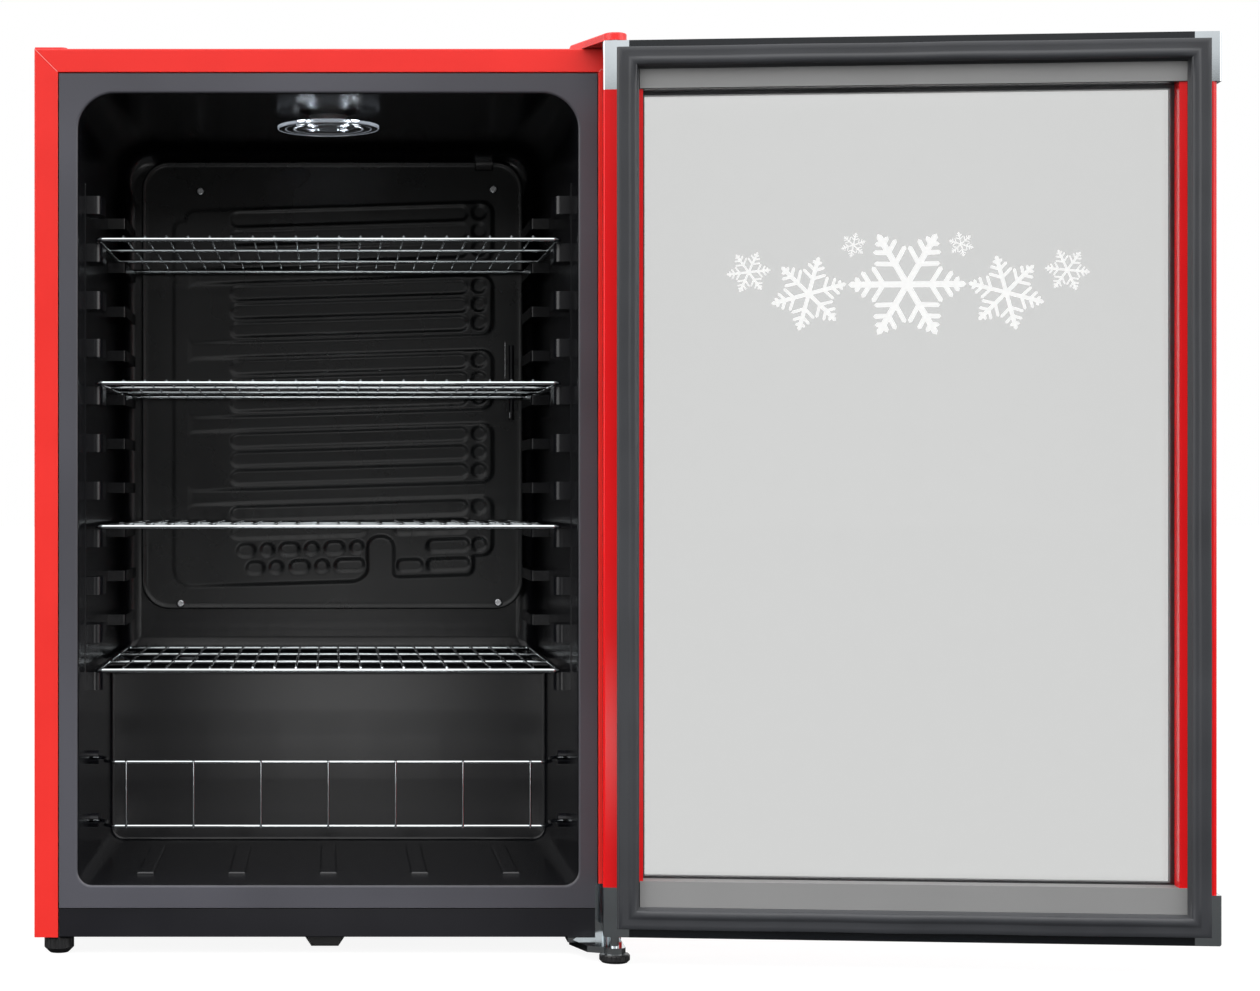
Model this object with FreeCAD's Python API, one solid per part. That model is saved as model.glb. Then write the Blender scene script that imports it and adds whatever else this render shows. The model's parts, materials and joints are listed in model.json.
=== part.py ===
import FreeCAD, Part
import math
import os

# Glass-door drinks cooler, millimetres. The model is drawn with X = 0 at the cabinet's middle,
# Y = 0 at the cabinet's front plane (+Y to the rear) and Z = 0 on the floor. Every node is then
# moved so that the row's origin is where the door's hinge axis meets the floor.

# ---- driving dimensions -------------------------------------------------------------------
CAB_W = 545.0
CAB_Z0 = 16.0
CAB_Z1 = 840.0
CAB_D = 455.0
SHEET = 0.8
FLANGE = 22.0

LINER_T = 2.0
OPEN_HW = 231.5
OPEN_Z0 = 65.0
OPEN_Z1 = 798.0
BACK_HW = 226.0
BACK_Z1 = 803.0
BACK_Y = 415.0
HUMP_Y = 305.0
HUMP_Z = 250.0
LINER_Z0 = 43.4
RIM_R = 3.0

BAY_Y = 341.0
BAY_Z = 205.0

LEDGE_TOP = 710.7
LEDGE_PITCH = 45.33
LEDGE_COUNT = 11
LEDGE_X = 215.0
LEDGE_REAR_X = 208.5
SHELF_LEVELS = (1, 4, 7, 10)
SHELF_HW = 218.5
SHELF_Y0 = 50.0
SHELF_Y1 = 398.0
FRAME_R = 2.25
LONG_R = 1.75
CROSS_R = 1.0
CROSS_PITCH = 20.4
CROSS_COUNT = 20

PIVOT_X = 261.5
PIVOT_Y = -36.0
OPEN_ANGLE = 175.0

DOOR_Z0 = 26.6
DOOR_Z1 = 837.0
DOOR_FRONT = -52.0
DOOR_BACK = -12.0
GASKET_Y = -1.0
CAP_W = 23.5
TOP_RAIL_Z = 792.7
BOTTOM_RAIL_Z = 76.6
CAP_LOW_Z = 71.5
SIGHT_X1 = 236.5
SIGHT_X0 = -235.5
PIN_R = 3.0
BUSH_BORE_R = 3.05

HW = CAB_W / 2.0
V = FreeCAD.Vector


# ---- small helpers ------------------------------------------------------------------------
def box(x0, x1, y0, y1, z0, z1):
    return Part.makeBox(x1 - x0, y1 - y0, z1 - z0, V(x0, y0, z0))


def cyl(x, y, z, r, h, axis=(0, 0, 1)):
    return Part.makeCylinder(r, h, V(x, y, z), V(*axis))


def fuse(shapes):
    out = shapes[0]
    if len(shapes) > 1:
        out = out.multiFuse(shapes[1:])
    return out.removeSplitter()


def group(shapes):
    return Part.makeCompound(shapes)


def rod(a, b, r):
    d = V(*b) - V(*a)
    return Part.makeCylinder(r, d.Length, V(*a), d)


def bent_rod(points, r, bend):
    """A round wire along the given points, each corner rounded to the bend radius."""
    pts = [V(*p) for p in points]
    edges = []
    at = pts[0]
    for before, corner, after in zip(pts, pts[1:], pts[2:]):
        d_in = (corner - before).normalize()
        d_out = (after - corner).normalize()
        half = d_in.getAngle(d_out) / 2.0
        back = bend * math.tan(half)
        a = corner - d_in * back
        b = corner + d_out * back
        inward = (d_out - d_in).normalize()
        middle = corner + inward * (bend / math.cos(half) - bend)
        edges.append(Part.makeLine(at, a))
        edges.append(Part.Arc(a, middle, b).toShape())
        at = b
    edges.append(Part.makeLine(at, pts[-1]))
    circle = Part.Wire([Part.makeCircle(r, pts[0], pts[1] - pts[0])])
    return Part.Wire(edges).makePipeShell([circle], True, False)


def rounded_wire(hw, z0, z1, r_low, r_top, y):
    """A rectangle in the XZ plane at depth y, with its own bottom and top corner radii."""
    k = math.sqrt(0.5)
    pts = [
        (-hw + r_low, z0), (hw - r_low, z0), (hw, z0 + r_low), (hw, z1 - r_top),
        (hw - r_top, z1), (-hw + r_top, z1), (-hw, z1 - r_top), (-hw, z0 + r_low),
    ]
    mids = [
        (hw - r_low + r_low * k, z0 + r_low - r_low * k),
        (hw - r_top + r_top * k, z1 - r_top + r_top * k),
        (-hw + r_top - r_top * k, z1 - r_top + r_top * k),
        (-hw + r_low - r_low * k, z0 + r_low - r_low * k),
    ]
    edges = []
    for i in range(4):
        a = pts[2 * i]
        b = pts[2 * i + 1]
        c = pts[(2 * i + 2) % 8]
        m = mids[i]
        edges.append(Part.makeLine(V(a[0], y, a[1]), V(b[0], y, b[1])))
        edges.append(Part.Arc(V(b[0], y, b[1]), V(m[0], y, m[1]), V(c[0], y, c[1])).toShape())
    return Part.Wire(edges)


def rounded_plate(hw, z0, z1, r_low, r_top, y0, y1, x=0.0):
    plate = Part.Face(rounded_wire(hw, z0, z1, r_low, r_top, y0)).extrude(V(0, y1 - y0, 0))
    plate.translate(V(x, 0, 0))
    return plate


def turned(profile, x, y):
    """A solid of revolution about the vertical line at x, y from (radius, z) points."""
    wire = Part.makePolygon([V(x + r, y, z) for r, z in profile + [profile[0]]])
    return Part.Face(wire).revolve(V(x, y, 0), V(0, 0, 1), 360)


def edges_where(shape, test):
    return [e for e in shape.Edges if test(e.BoundBox)]


# ---- cabinet shell ------------------------------------------------------------------------
def make_outer_wrap():
    outer = box(-HW, HW, 0, CAB_D, CAB_Z0, CAB_Z1)
    long_edges = edges_where(outer, lambda b: b.YLength < 0.01 and b.XLength < 0.01)
    front_edges = [e for e in long_edges if e.BoundBox.YMin < 0.1]
    top_front = edges_where(outer, lambda b: b.YMax < 0.01 and b.ZMin > CAB_Z1 - 0.01)
    outer = outer.makeFillet(1.6, front_edges + top_front)
    inner = box(-HW + SHEET, HW - SHEET, SHEET, CAB_D + 1, CAB_Z0 - 1, CAB_Z1 - SHEET)
    lip = HW - FLANGE
    mouth = box(-lip, lip, -1, SHEET + 1, CAB_Z0 - 1, CAB_Z1 - FLANGE)
    shell = outer.cut(inner).cut(mouth)
    returns = [
        box(-lip - SHEET, -lip, SHEET, 9, CAB_Z0, CAB_Z1 - FLANGE + SHEET),
        box(lip, lip + SHEET, SHEET, 9, CAB_Z0, CAB_Z1 - FLANGE + SHEET),
        box(-lip, lip, SHEET, 9, CAB_Z1 - FLANGE, CAB_Z1 - FLANGE + SHEET),
    ]
    shell = fuse([shell] + returns)
    fold = edges_where(shell, lambda b: b.YMax < 0.01 and b.ZMax < CAB_Z1 - FLANGE + 0.1
                       and abs(abs(b.XMin + b.XMax) / 2.0 - lip) < 0.1 and b.ZLength > 100)
    fold += edges_where(shell, lambda b: b.YMax < 0.01 and b.XLength > 100
                        and abs(b.ZMin - CAB_Z1 + FLANGE) < 0.1)
    shell = shell.makeFillet(0.9, fold)
    for side in (-1, 1):
        seam = box(-0.2, 0.2, -0.1, 0.25, 1.5, FLANGE * math.sqrt(2) - 4)
        seam.rotate(V(0, 0, 0), V(0, 1, 0), 45 * side)
        seam.translate(V(side * lip, 0, CAB_Z1 - FLANGE))
        shell = shell.cut(seam)
    for x, y in TOP_SCREWS:
        shell = shell.cut(cyl(x, y, CAB_Z1 - 2, 2.4, 4))
    return shell


TOP_SCREWS = ((236.0, 16.0), (262.0, 22.0), (250.0, 48.0))
BOTTOM_SCREWS = ((232.0, 14.0), (262.0, 14.0), (247.0, 34.0))


def make_tunnel(grow):
    """The liner's four tapered walls and its plain back, grown outwards by grow."""
    front = rounded_wire(OPEN_HW + grow, OPEN_Z0 - grow, OPEN_Z1 + grow, 13 + grow, 34 + grow, -1)
    back = rounded_wire(
        BACK_HW + grow, OPEN_Z0 - grow, BACK_Z1 + grow, 13 + grow, 34 + grow, BACK_Y + grow
    )
    return Part.makeLoft([front, back], True, True)


def make_cavity(grow):
    """The space inside the liner, with the hump over the compressor bay taken away."""
    solid = make_tunnel(grow)
    hump = box(-300, 300, HUMP_Y + grow, 500, 0, HUMP_Z - grow)
    nose = edges_where(hump, lambda b: b.YMax < HUMP_Y + grow + 0.1 and b.ZMin > HUMP_Z - grow - 0.1)
    hump = hump.makeFillet(max(12 - grow, 2), nose)
    solid = solid.cut(hump)
    foot = edges_where(solid, lambda b: b.YMin > HUMP_Y + grow - 0.1 and b.YMax < HUMP_Y + grow + 0.1
                       and b.ZMin < HUMP_Z - 20)
    solid = solid.makeFillet(3.0 + grow, foot)
    rear = [
        e for e in solid.Edges
        if e.BoundBox.YMin > BACK_Y + grow - 0.1 and e.BoundBox.ZMax > HUMP_Z - grow + 0.5
    ]
    return solid.makeFillet(22, rear)


def make_liner(cavity, cavity_outer):
    lip = HW - FLANGE - 1.0
    flange = box(-lip, lip, 0, LINER_T, LINER_Z0, CAB_Z1 - FLANGE - 1.0)
    skin = cavity_outer.cut(box(-300, 300, -5, LINER_T / 2, 0, 900))
    liner = fuse([flange, skin]).cut(cavity)
    ribs = []
    for x in (-174, -87, 0, 87, 174):
        rib = box(x - 8, x + 8, 62, 245, OPEN_Z0 - 0.5, OPEN_Z0 + 3.0)
        ribs.append(rib.makeFillet(2.8, edges_where(rib, lambda b: b.ZMin > OPEN_Z0 + 2)))
    bosses = [cyl(x, EVAP_Y1, z, 5.0, BACK_Y + 1 - EVAP_Y1, (0, 1, 0)) for x, z in EVAP_SCREWS]
    liner = fuse([liner] + ribs + bosses)
    liner = liner.cut(cyl(0, LAMP_Y, BACK_Z1 - 12, 12, 30))
    liner = liner.cut(cyl(DRAIN_X, DRAIN_Y, HUMP_Z - 6, 6.6, 12))
    for x, z in PIPE_PORTS:
        liner = liner.cut(cyl(x, BACK_Y - 5, z, 4.7, 12, (0, 1, 0)))
    for x, z in EVAP_SCREWS:
        liner = liner.cut(cyl(x, EVAP_Y1 - 1, z, 1.9, 20, (0, 1, 0)))
    rim = edges_where(liner, lambda b: b.YMax < 0.01 and max(abs(b.XMin), abs(b.XMax)) < OPEN_HW + 1
                      and b.ZMin > OPEN_Z0 - 1 and b.ZMax < OPEN_Z1 + 1)
    return liner.makeFillet(RIM_R, rim)


LAMP_Y = 150.0
LED_RING_R = 21.5
DRAIN_X = -150.0
DRAIN_Y = 372.0
PIPE_PORTS = ((-140.0, 330.0),)
EVAP_SCREWS = ((-139.3, 756.0), (179.0, 758.0), (-161.0, 308.0), (184.4, 309.0))
SUCTION_PATH = ((-140, 409, 330), (-140, 432, 330), (-140, 432, 60))


def make_foam(cavity_foam):
    foam = box(-HW + SHEET, HW - SHEET, SHEET, CAB_D - SHEET, 18.0, CAB_Z1 - SHEET)
    foam = foam.cut(box(-300, 300, -1, 9.4, 0, 900))
    foam = foam.cut(box(-300, 300, 0, 11.2, 0, 40.5))
    foam = foam.cut(cavity_foam)
    foam = foam.cut(box(-300, 300, BAY_Y - 1.0, 500, 0, BAY_Z + 1.0))
    cuts = []
    for x, y in TOP_SCREWS:
        cuts.append(cyl(x, y, CAB_Z1 - 24, 7, 30))
    cuts.append(box(214, 271.7, 0, 62, CAB_Z1 - 3.8, CAB_Z1))
    cuts.append(cyl(0, LAMP_Y, BACK_Z1 - 5, 13, 24))
    cuts.append(cyl(DRAIN_X, DRAIN_Y, BAY_Z - 5, 7.3, 60))
    cuts.append(bent_rod(SUCTION_PATH, 5.0, 9.0))
    cuts.append(cyl(-251, 17, 15, 7.8, 32))
    for x, y in BOTTOM_SCREWS:
        cuts.append(cyl(x, y, 15, 5, 22))
    for x, z in EVAP_SCREWS:
        cuts.append(cyl(x, BACK_Y, z, 3, 16, (0, 1, 0)))
    foam = foam.cut(fuse(cuts))
    return foam


def make_back_panel():
    panel = box(-HW + SHEET, HW - SHEET, CAB_D - SHEET, CAB_D, BAY_Z, CAB_Z1 - SHEET)
    for z in CLIP_Z:
        for x in (-206, 206):
            panel = panel.cut(cyl(x, CAB_D - 3, z, 1.8, 6, (0, 1, 0)))
    return panel


def make_bay_panel():
    wall = box(-HW + SHEET, HW - SHEET, BAY_Y - 1, BAY_Y, 18.0, BAY_Z + 1)
    roof = box(-HW + SHEET, HW - SHEET, BAY_Y - 1, CAB_D - SHEET, BAY_Z, BAY_Z + 1)
    panel = fuse([wall, roof])
    panel = panel.cut(box(-HW, HW, CAB_D - SHEET - 0.05, CAB_D + 5, 100, 300))
    panel = panel.cut(cyl(DRAIN_X, DRAIN_Y, BAY_Z - 5, 6.6, 12))
    return panel.cut(cyl(-140, 432, BAY_Z - 5, 5.0, 12))


def make_base_pan():
    pan = box(-HW + SHEET, HW - SHEET, 9.4, BAY_Y - 1, CAB_Z0, 18.0)
    front = box(-248, 248, 9.4, 10.9, 18.0, 40)
    socket = cyl(-251, 17, CAB_Z0, 7.5, 26)
    pan = fuse([pan, front.cut(box(-270, -236, 0, 30, 0, 60)), socket])
    pan = pan.cut(cyl(-251, 17, 10, 4.05, 31))
    for x, y in BOTTOM_SCREWS:
        pan = pan.cut(cyl(x, y, 10, 2.4, 20))
    return pan


def make_compressor_plate():
    plate = box(-HW + SHEET + 0.2, HW - SHEET - 0.2, BAY_Y - 1, CAB_D, CAB_Z0, 18.0)
    lip = box(-HW + 20, HW - 20, CAB_D - 2, CAB_D, 18.0, 30.0)
    upstand = box(192, 218, CAB_D - 5, CAB_D - 3.5, 18.0, 136)
    upstand = upstand.cut(cyl(205, CAB_D - 12, 118, 7.8, 30, (0, 1, 0)))
    foot = box(192, 218, CAB_D - 5, CAB_D - 1, 17.0, 19.5)
    plate = fuse([plate, lip, upstand, foot])
    for x, y in COMP_FEET:
        plate = plate.cut(cyl(x, y, 10, 4.4, 12))
    for i in range(8):
        x = -230 + 26 * i
        slot = box(x, x + 5, 354, 424, 10, 20)
        plate = plate.cut(slot)
    return plate


def make_kick_panel():
    panel = box(-HW + FLANGE + 1, HW - FLANGE - 1, 1.2, 3.2, CAB_Z0 + 0.2, LINER_Z0 - 0.6)
    edge = edges_where(panel, lambda b: b.YMax < 1.3 and b.XLength > 100)
    return panel.makeFillet(0.8, edge)


def make_base_bracket():
    pts = [(-32.7, 16.0), (-32.7, 14.8), (-21.6, 14.8), (-15.7, 6.0), (9.5, 6.0), (15.4, 14.8),
           (30.8, 14.8), (30.8, 16.0), (14.6, 16.0), (8.7, 7.2), (-14.9, 7.2), (-20.8, 16.0)]
    wire = Part.makePolygon([V(x, 12, z) for x, z in pts + [pts[0]]])
    return Part.Face(wire).extrude(V(0, 23, 0))


# ---- shelves and their ledges -------------------------------------------------------------
def make_shelf_support(side, tunnel, tunnel_in):
    region = box(205, 300, 56, 392, 252.5, 722)
    ledges = []
    for k in range(LEDGE_COUNT):
        top = LEDGE_TOP - k * LEDGE_PITCH
        front = box(LEDGE_X, 300, 62, 110, top - 17, top)
        front = front.makeFillet(8.0, edges_where(
            front, lambda b: b.XMax < LEDGE_X + 0.1 and b.ZLength > 1))
        rear = box(LEDGE_REAR_X, 300, 262, 390, max(top - 10.7, HUMP_Z + 0.4), top)
        rear = rear.makeFillet(3.0, edges_where(
            rear, lambda b: b.XMax < LEDGE_REAR_X + 0.1 and b.ZLength > 1))
        ledges.append(front)
        ledges.append(rear)
    strip = region.common(tunnel.cut(tunnel_in))
    strip = fuse([strip, group(ledges).common(tunnel)])
    corner = Part.Face(Part.makePolygon([
        V(215, 294, 249), V(250, 294, 249), V(250, 294, 284), V(215, 294, 249)]))
    strip = strip.cut(corner.extrude(V(0, 106, 0)))
    if side < 0:
        strip = strip.mirror(V(0, 0, 0), V(1, 0, 0))
    return strip


def make_shelf():
    """One wire shelf with its frame's centre line at z = 0."""
    r = 5.0
    x = SHELF_HW
    y0 = SHELF_Y0
    y1 = SHELF_Y1
    k = r * (1 - math.sqrt(0.5))
    loop = []
    sides = [((-x + r, y0), (x - r, y0)), ((x, y0 + r), (x, y1 - r)),
             ((x - r, y1), (-x + r, y1)), ((-x, y1 - r), (-x, y0 + r))]
    bends = [(x - k, y0 + k), (x - k, y1 - k), (-x + k, y1 - k), (-x + k, y0 + k)]
    for i in range(4):
        a, b = sides[i]
        c = sides[(i + 1) % 4][0]
        m = bends[i]
        loop.append(Part.makeLine(V(a[0], a[1], 0), V(b[0], b[1], 0)))
        loop.append(Part.Arc(V(b[0], b[1], 0), V(m[0], m[1], 0), V(c[0], c[1], 0)).toShape())
    path = Part.Wire(loop)
    circle = Part.Wire([Part.makeCircle(FRAME_R, V(-x + r, y0, 0), V(1, 0, 0))])
    frame = path.makePipeShell([circle], True, False)
    wires = []
    z_long = FRAME_R - LONG_R
    for y in (y0 + 116, y0 + 233):
        wires.append(rod((-x, y, z_long), (x, y, z_long), LONG_R))
    z_cross = FRAME_R + CROSS_R - 0.5
    for i in range(CROSS_COUNT):
        cx = (i - (CROSS_COUNT - 1) / 2.0) * CROSS_PITCH
        wires.append(rod((cx, y0 - 1.0, z_cross), (cx, y1 + 1.0, z_cross), CROSS_R))
    return frame.multiFuse(wires)


def make_can_rail():
    wires = []
    for z in (172, 111):
        pts = [(-227.5, 107, z), (-221, 107, z), (-214, 99, z), (-213, 72, z), (-204, 62, z),
               (204, 62, z), (213, 72, z), (214, 99, z), (221, 107, z), (227.5, 107, z)]
        wires.append(bent_rod(pts, 1.7, 4.0))
    for i in range(7):
        x = (i - 3) * 64.0
        wires.append(rod((x, 59.3, 109.6), (x, 59.3, 173.4), 1.2))
    return wires[0].multiFuse(wires[1:])


def make_rail_sockets(tunnel):
    sockets = []
    for side in (-1, 1):
        for z in (172, 111):
            boss = cyl(side * 222.5, 107, z, 6.5, 12, (side, 0, 0))
            slot = cyl(side * 221.5, 107, z, 2.05, 12, (side, 0, 0))
            mouth = box(-300, 300, 95, 107, z - 1.95, z + 1.95)
            sockets.append(boss.common(tunnel).cut(fuse([slot, mouth])))
    return group(sockets)


# ---- evaporator, lamp, controls -----------------------------------------------------------
EVAP_Y0 = 406.4
EVAP_Y1 = 408.0


def stadium(x0, x1, z, h, y0, y1):
    r = h / 2.0 - 0.4
    return rounded_plate((x1 - x0) / 2.0, z - h / 2.0, z + h / 2.0, r, r, y0, y1, (x0 + x1) / 2.0)


def make_evaporator_plate():
    plate = rounded_plate(207, 302, 788, 18, 32, EVAP_Y0, EVAP_Y1, 4)
    notch = box(160, 178, EVAP_Y0 - 1, EVAP_Y1 + 1, 780, 800)
    plate = plate.cut(notch)
    pads = []
    for z in (713.0, 633.0, 552.0, 472.4):
        pad = rounded_plate(168, z - 34, z + 28, 14, 14, EVAP_Y0 - 1.8, EVAP_Y0, 11)
        for dz in (-20, 0, 20):
            pad = pad.cut(stadium(-145, 150, z + dz, 12, EVAP_Y0 - 3, EVAP_Y0))
            pad = pad.cut(cyl(164, EVAP_Y0 - 3, z + dz, 6, 3, (0, 1, 0)))
        pads.append(pad)
    low = rounded_plate(70, 333, 400, 14, 14, EVAP_Y0 - 1.8, EVAP_Y0, -27)
    for x in (-90, -66, -42, -18, 6, 30):
        low = low.cut(cyl(x, EVAP_Y0 - 3, 368.5, 5, 3, (0, 1, 0)))
    for x in (-83, -56, -32, -6, 23):
        low = low.cut(cyl(x, EVAP_Y0 - 3, 348, 5, 3, (0, 1, 0)))
    right = rounded_plate(60, 340, 400, 14, 14, EVAP_Y0 - 1.8, EVAP_Y0, 120)
    right = right.cut(stadium(110, 153, 373, 12, EVAP_Y0 - 3, EVAP_Y0))
    right = right.cut(stadium(73, 101, 352.5, 10, EVAP_Y0 - 3, EVAP_Y0))
    right = right.cut(stadium(111, 152, 352.5, 10, EVAP_Y0 - 3, EVAP_Y0))
    bridge = box(38, 66, EVAP_Y0 - 1.8, EVAP_Y0, 376, 392)
    header = rounded_plate(8, 330, 744, 7, 7, EVAP_Y0 - 1.8, EVAP_Y0, -166)
    feeds = [box(-168, -150, EVAP_Y0 - 1.8, EVAP_Y0, z - 4, z + 4) for z in (733, 613, 532, 452)]
    feeds.append(box(-168, -88, EVAP_Y0 - 1.8, EVAP_Y0, 380, 390))
    plate = fuse([plate, low, right, bridge, header] + pads + feeds)
    for x, z in EVAP_SCREWS:
        plate = plate.cut(cyl(x, EVAP_Y0 - 5, z, 2.4, 10, (0, 1, 0)))
    return plate


def make_evaporator_screws():
    out = []
    for x, z in EVAP_SCREWS:
        head = cyl(x, EVAP_Y0 - 3.0, z, 4.4, 3.0, (0, 1, 0))
        rim = edges_where(head, lambda b: b.YMax < EVAP_Y0 - 2.9 and b.XLength > 5)
        head = head.makeFillet(1.6, rim)
        cross = box(x - 2.4, x + 2.4, EVAP_Y0 - 4, EVAP_Y0 - 1.6, z - 0.5, z + 0.5)
        cross2 = box(x - 0.5, x + 0.5, EVAP_Y0 - 4, EVAP_Y0 - 1.6, z - 2.4, z + 2.4)
        shaft = cyl(x, EVAP_Y0 - 1, z, 1.6, 22, (0, 1, 0))
        out.append(fuse([head, shaft]).cut(cross).cut(cross2))
    return group(out)


def make_sensor_clip():
    body = cyl(198.6, EVAP_Y0 - 2.9, 507, 2.7, 81)
    back = box(196.3, 200.9, EVAP_Y0 - 2.9, EVAP_Y0, 512, 583)
    strap_low = box(192, 205.2, EVAP_Y0 - 2.0, EVAP_Y0, 518, 526)
    strap_high = box(192, 205.2, EVAP_Y0 - 2.0, EVAP_Y0, 566, 574)
    return fuse([body, back, strap_low, strap_high])


def make_lamp_base():
    neck = turned([(0, 793.2), (17, 793.2), (17, 798), (22, 801.2), (0, 801.2)], 0, LAMP_Y)
    plate = turned([(0, 792.0), (29.5, 792.0), (29.5, 793.6), (0, 793.6)], 0, LAMP_Y)
    spigot = cyl(0, LAMP_Y, 798, 11, 17)
    slope = (BACK_Z1 - OPEN_Z1) / (BACK_Y + 1)
    ceiling = box(-60, 60, LAMP_Y - 60, LAMP_Y + 60, 700, OPEN_Z1 + slope * (LAMP_Y - 30))
    return fuse([neck.common(ceiling), plate, spigot])


def make_lamp_board():
    board = cyl(0, LAMP_Y, 790.4, 26, 1.6)
    leds = []
    for i in range(4):
        a = math.radians(45 + 90 * i)
        x = LED_RING_R * math.cos(a)
        y = LAMP_Y + LED_RING_R * math.sin(a)
        leds.append(box(x - 2.5, x + 2.5, y - 2.5, y + 2.5, 789.7, 790.6))
    return fuse([board] + leds)


def make_lamp_lens():
    """A thin ribbed disc whose collar snaps round the lamp base."""
    profile = [(0, 786.5), (49.2, 786.5), (50, 787.3), (50, 789.5), (32.0, 789.5), (32.0, 793.2),
               (29.8, 793.2), (29.8, 789.5), (0, 789.5)]
    lens = turned(profile, 0, LAMP_Y)
    for r in (10, 34, 42):
        lens = lens.cut(Part.makeTorus(r, 0.7, V(0, LAMP_Y, 786.4)))
    for i in range(4):
        a = math.radians(45 + 90 * i)
        x = LED_RING_R * math.cos(a)
        y = LAMP_Y + LED_RING_R * math.sin(a)
        lens = lens.cut(cyl(x, y, 787.3, 3.8, 4))
    return lens


CTRL_X0 = -262.0
CTRL_X1 = -172.0
CTRL_Z0 = 128.0
CTRL_Z1 = 192.0
KNOB_X = -238.0
KNOB_Z = 160.0
ROCKER_X = -194.0
ROCKER_Y = 444.0


def make_control_box():
    body = box(CTRL_X0, CTRL_X1, 400, 450, CTRL_Z0, CTRL_Z1)
    body = body.makeFillet(3.0, edges_where(body, lambda b: b.YLength > 40))
    hollow = box(CTRL_X0 + 2, CTRL_X1 - 2, 402, 447, CTRL_Z0 + 2, CTRL_Z1 - 2)
    tab = box(CTRL_X0 - 9, CTRL_X0 + 1, 400, 402, CTRL_Z0 + 10, CTRL_Z1 - 10)
    body = fuse([body.cut(hollow), tab])
    spindle = cyl(KNOB_X, 430, KNOB_Z, 3.0, 33, (0, 1, 0))
    pot = cyl(KNOB_X, 420, KNOB_Z, 12, 27.2, (0, 1, 0))
    body = body.cut(box(ROCKER_X - 7.3, ROCKER_X + 7.3, 446, 452, KNOB_Z - 11.6, KNOB_Z + 11.6))
    posts = [box(ROCKER_X - 9.8, ROCKER_X - 7.5, 436, 447.5, KNOB_Z - 5, KNOB_Z + 5),
             box(ROCKER_X + 7.5, ROCKER_X + 9.8, 436, 447.5, KNOB_Z - 5, KNOB_Z + 5)]
    body = fuse([body, spindle, pot] + posts)
    return body.cut(cyl(ROCKER_X - 12, ROCKER_Y, KNOB_Z, 1.55, 24, (1, 0, 0)))


def make_thermostat_knob():
    knob = cyl(KNOB_X, 450.6, KNOB_Z, 15, 14, (0, 1, 0))
    rim = edges_where(knob, lambda b: b.YMin > 464 and b.XLength > 5)
    knob = knob.makeFillet(1.5, rim)
    flutes = []
    for i in range(18):
        a = math.radians(20 * i)
        x = KNOB_X + 15.6 * math.cos(a)
        z = KNOB_Z + 15.6 * math.sin(a)
        flutes.append(cyl(x, 450, z, 1.4, 16, (0, 1, 0)))
    knob = knob.cut(group(flutes))
    pointer = box(KNOB_X - 0.8, KNOB_X + 0.8, 463.8, 466, KNOB_Z + 3, KNOB_Z + 12)
    return knob.cut(pointer).cut(cyl(KNOB_X, 449, KNOB_Z, 3.05, 15, (0, 1, 0)))


def make_rocker():
    pts = [(441.6, -6), (444, -9.8), (453.6, -9.8), (451.4, 0), (450.6, 9.8), (444, 9.8), (441.6, 6)]
    wire = Part.makePolygon([V(ROCKER_X - 7, y, KNOB_Z + z) for y, z in pts + [pts[0]]])
    pins = cyl(ROCKER_X - 9.6, ROCKER_Y, KNOB_Z, 1.5, 19.2, (1, 0, 0))
    return fuse([Part.Face(wire).extrude(V(14, 0, 0)), pins])


# ---- refrigeration bay --------------------------------------------------------------------
COMP_X = 110.0
COMP_Y = 402.0
COMP_FEET = ((35.0, 366.0), (185.0, 366.0), (35.0, 438.0), (185.0, 438.0))
CLIP_Z = (300.0, 520.0, 700.0)
DRIER_X = -100.0
DRIER_Y = 402.0


def make_compressor_shell():
    low = turned([(0, 34), (52, 34), (66, 44), (68, 58), (68, 92), (0, 92)], 0, 0)
    high = turned([(0, 96), (68, 96), (68, 118), (62, 136), (40, 149), (0, 152)], 0, 0)
    seam = turned([(0, 92), (71, 92), (71, 96), (0, 96)], 0, 0)
    pot = fuse([low, seam, high])
    squash = FreeCAD.Matrix(1.12, 0, 0, COMP_X, 0, 0.78, 0, COMP_Y, 0, 0, 1, 0, 0, 0, 0, 1)
    pot = pot.transformGeometry(squash)
    stand = []
    for x, y in COMP_FEET:
        stand.append(cyl(x, y, 31, 12, 3))
    plate_a = box(35, 185, 357, 375, 31, 34)
    plate_b = box(35, 185, 429, 447, 31, 34)
    cross = box(COMP_X - 40, COMP_X + 40, 366, 438, 31, 36)
    feet = fuse(stand + [plate_a, plate_b, cross])
    for x, y in COMP_FEET:
        feet = feet.cut(cyl(x, y, 20, 6.3, 30))
    ports = [rod((28, COMP_Y, 118), (50, COMP_Y, 118), 4.2),
             rod((33, COMP_Y + 22, 80), (60, COMP_Y + 15, 80), 3.4),
             rod((42, COMP_Y - 32, 80), (62, COMP_Y - 20, 80), 3.4)]
    return fuse([pot, feet] + ports)


def make_compressor_mounts():
    out = []
    for x, y in COMP_FEET:
        profile = [(3.4, 18.0), (13, 18.0), (13, 24), (10, 25.5), (13, 27), (13, 31), (6.0, 31),
                   (6.0, 35), (10, 35), (10, 38), (3.4, 38)]
        out.append(turned(profile, x, y))
    return group(out)


def make_compressor_bolts():
    out = []
    for x, y in COMP_FEET:
        shaft = cyl(x, y, 12.5, 3.0, 29)
        nut = Part.Face(Part.makePolygon([
            V(x + 6 * math.cos(math.radians(60 * i)), y + 6 * math.sin(math.radians(60 * i)), 38.2)
            for i in range(7)])).extrude(V(0, 0, 5))
        head = Part.Face(Part.makePolygon([
            V(x + 6 * math.cos(math.radians(60 * i)), y + 6 * math.sin(math.radians(60 * i)), 11.5)
            for i in range(7)])).extrude(V(0, 0, 4.3))
        out.append(fuse([shaft, nut, head]))
    return group(out)


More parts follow.
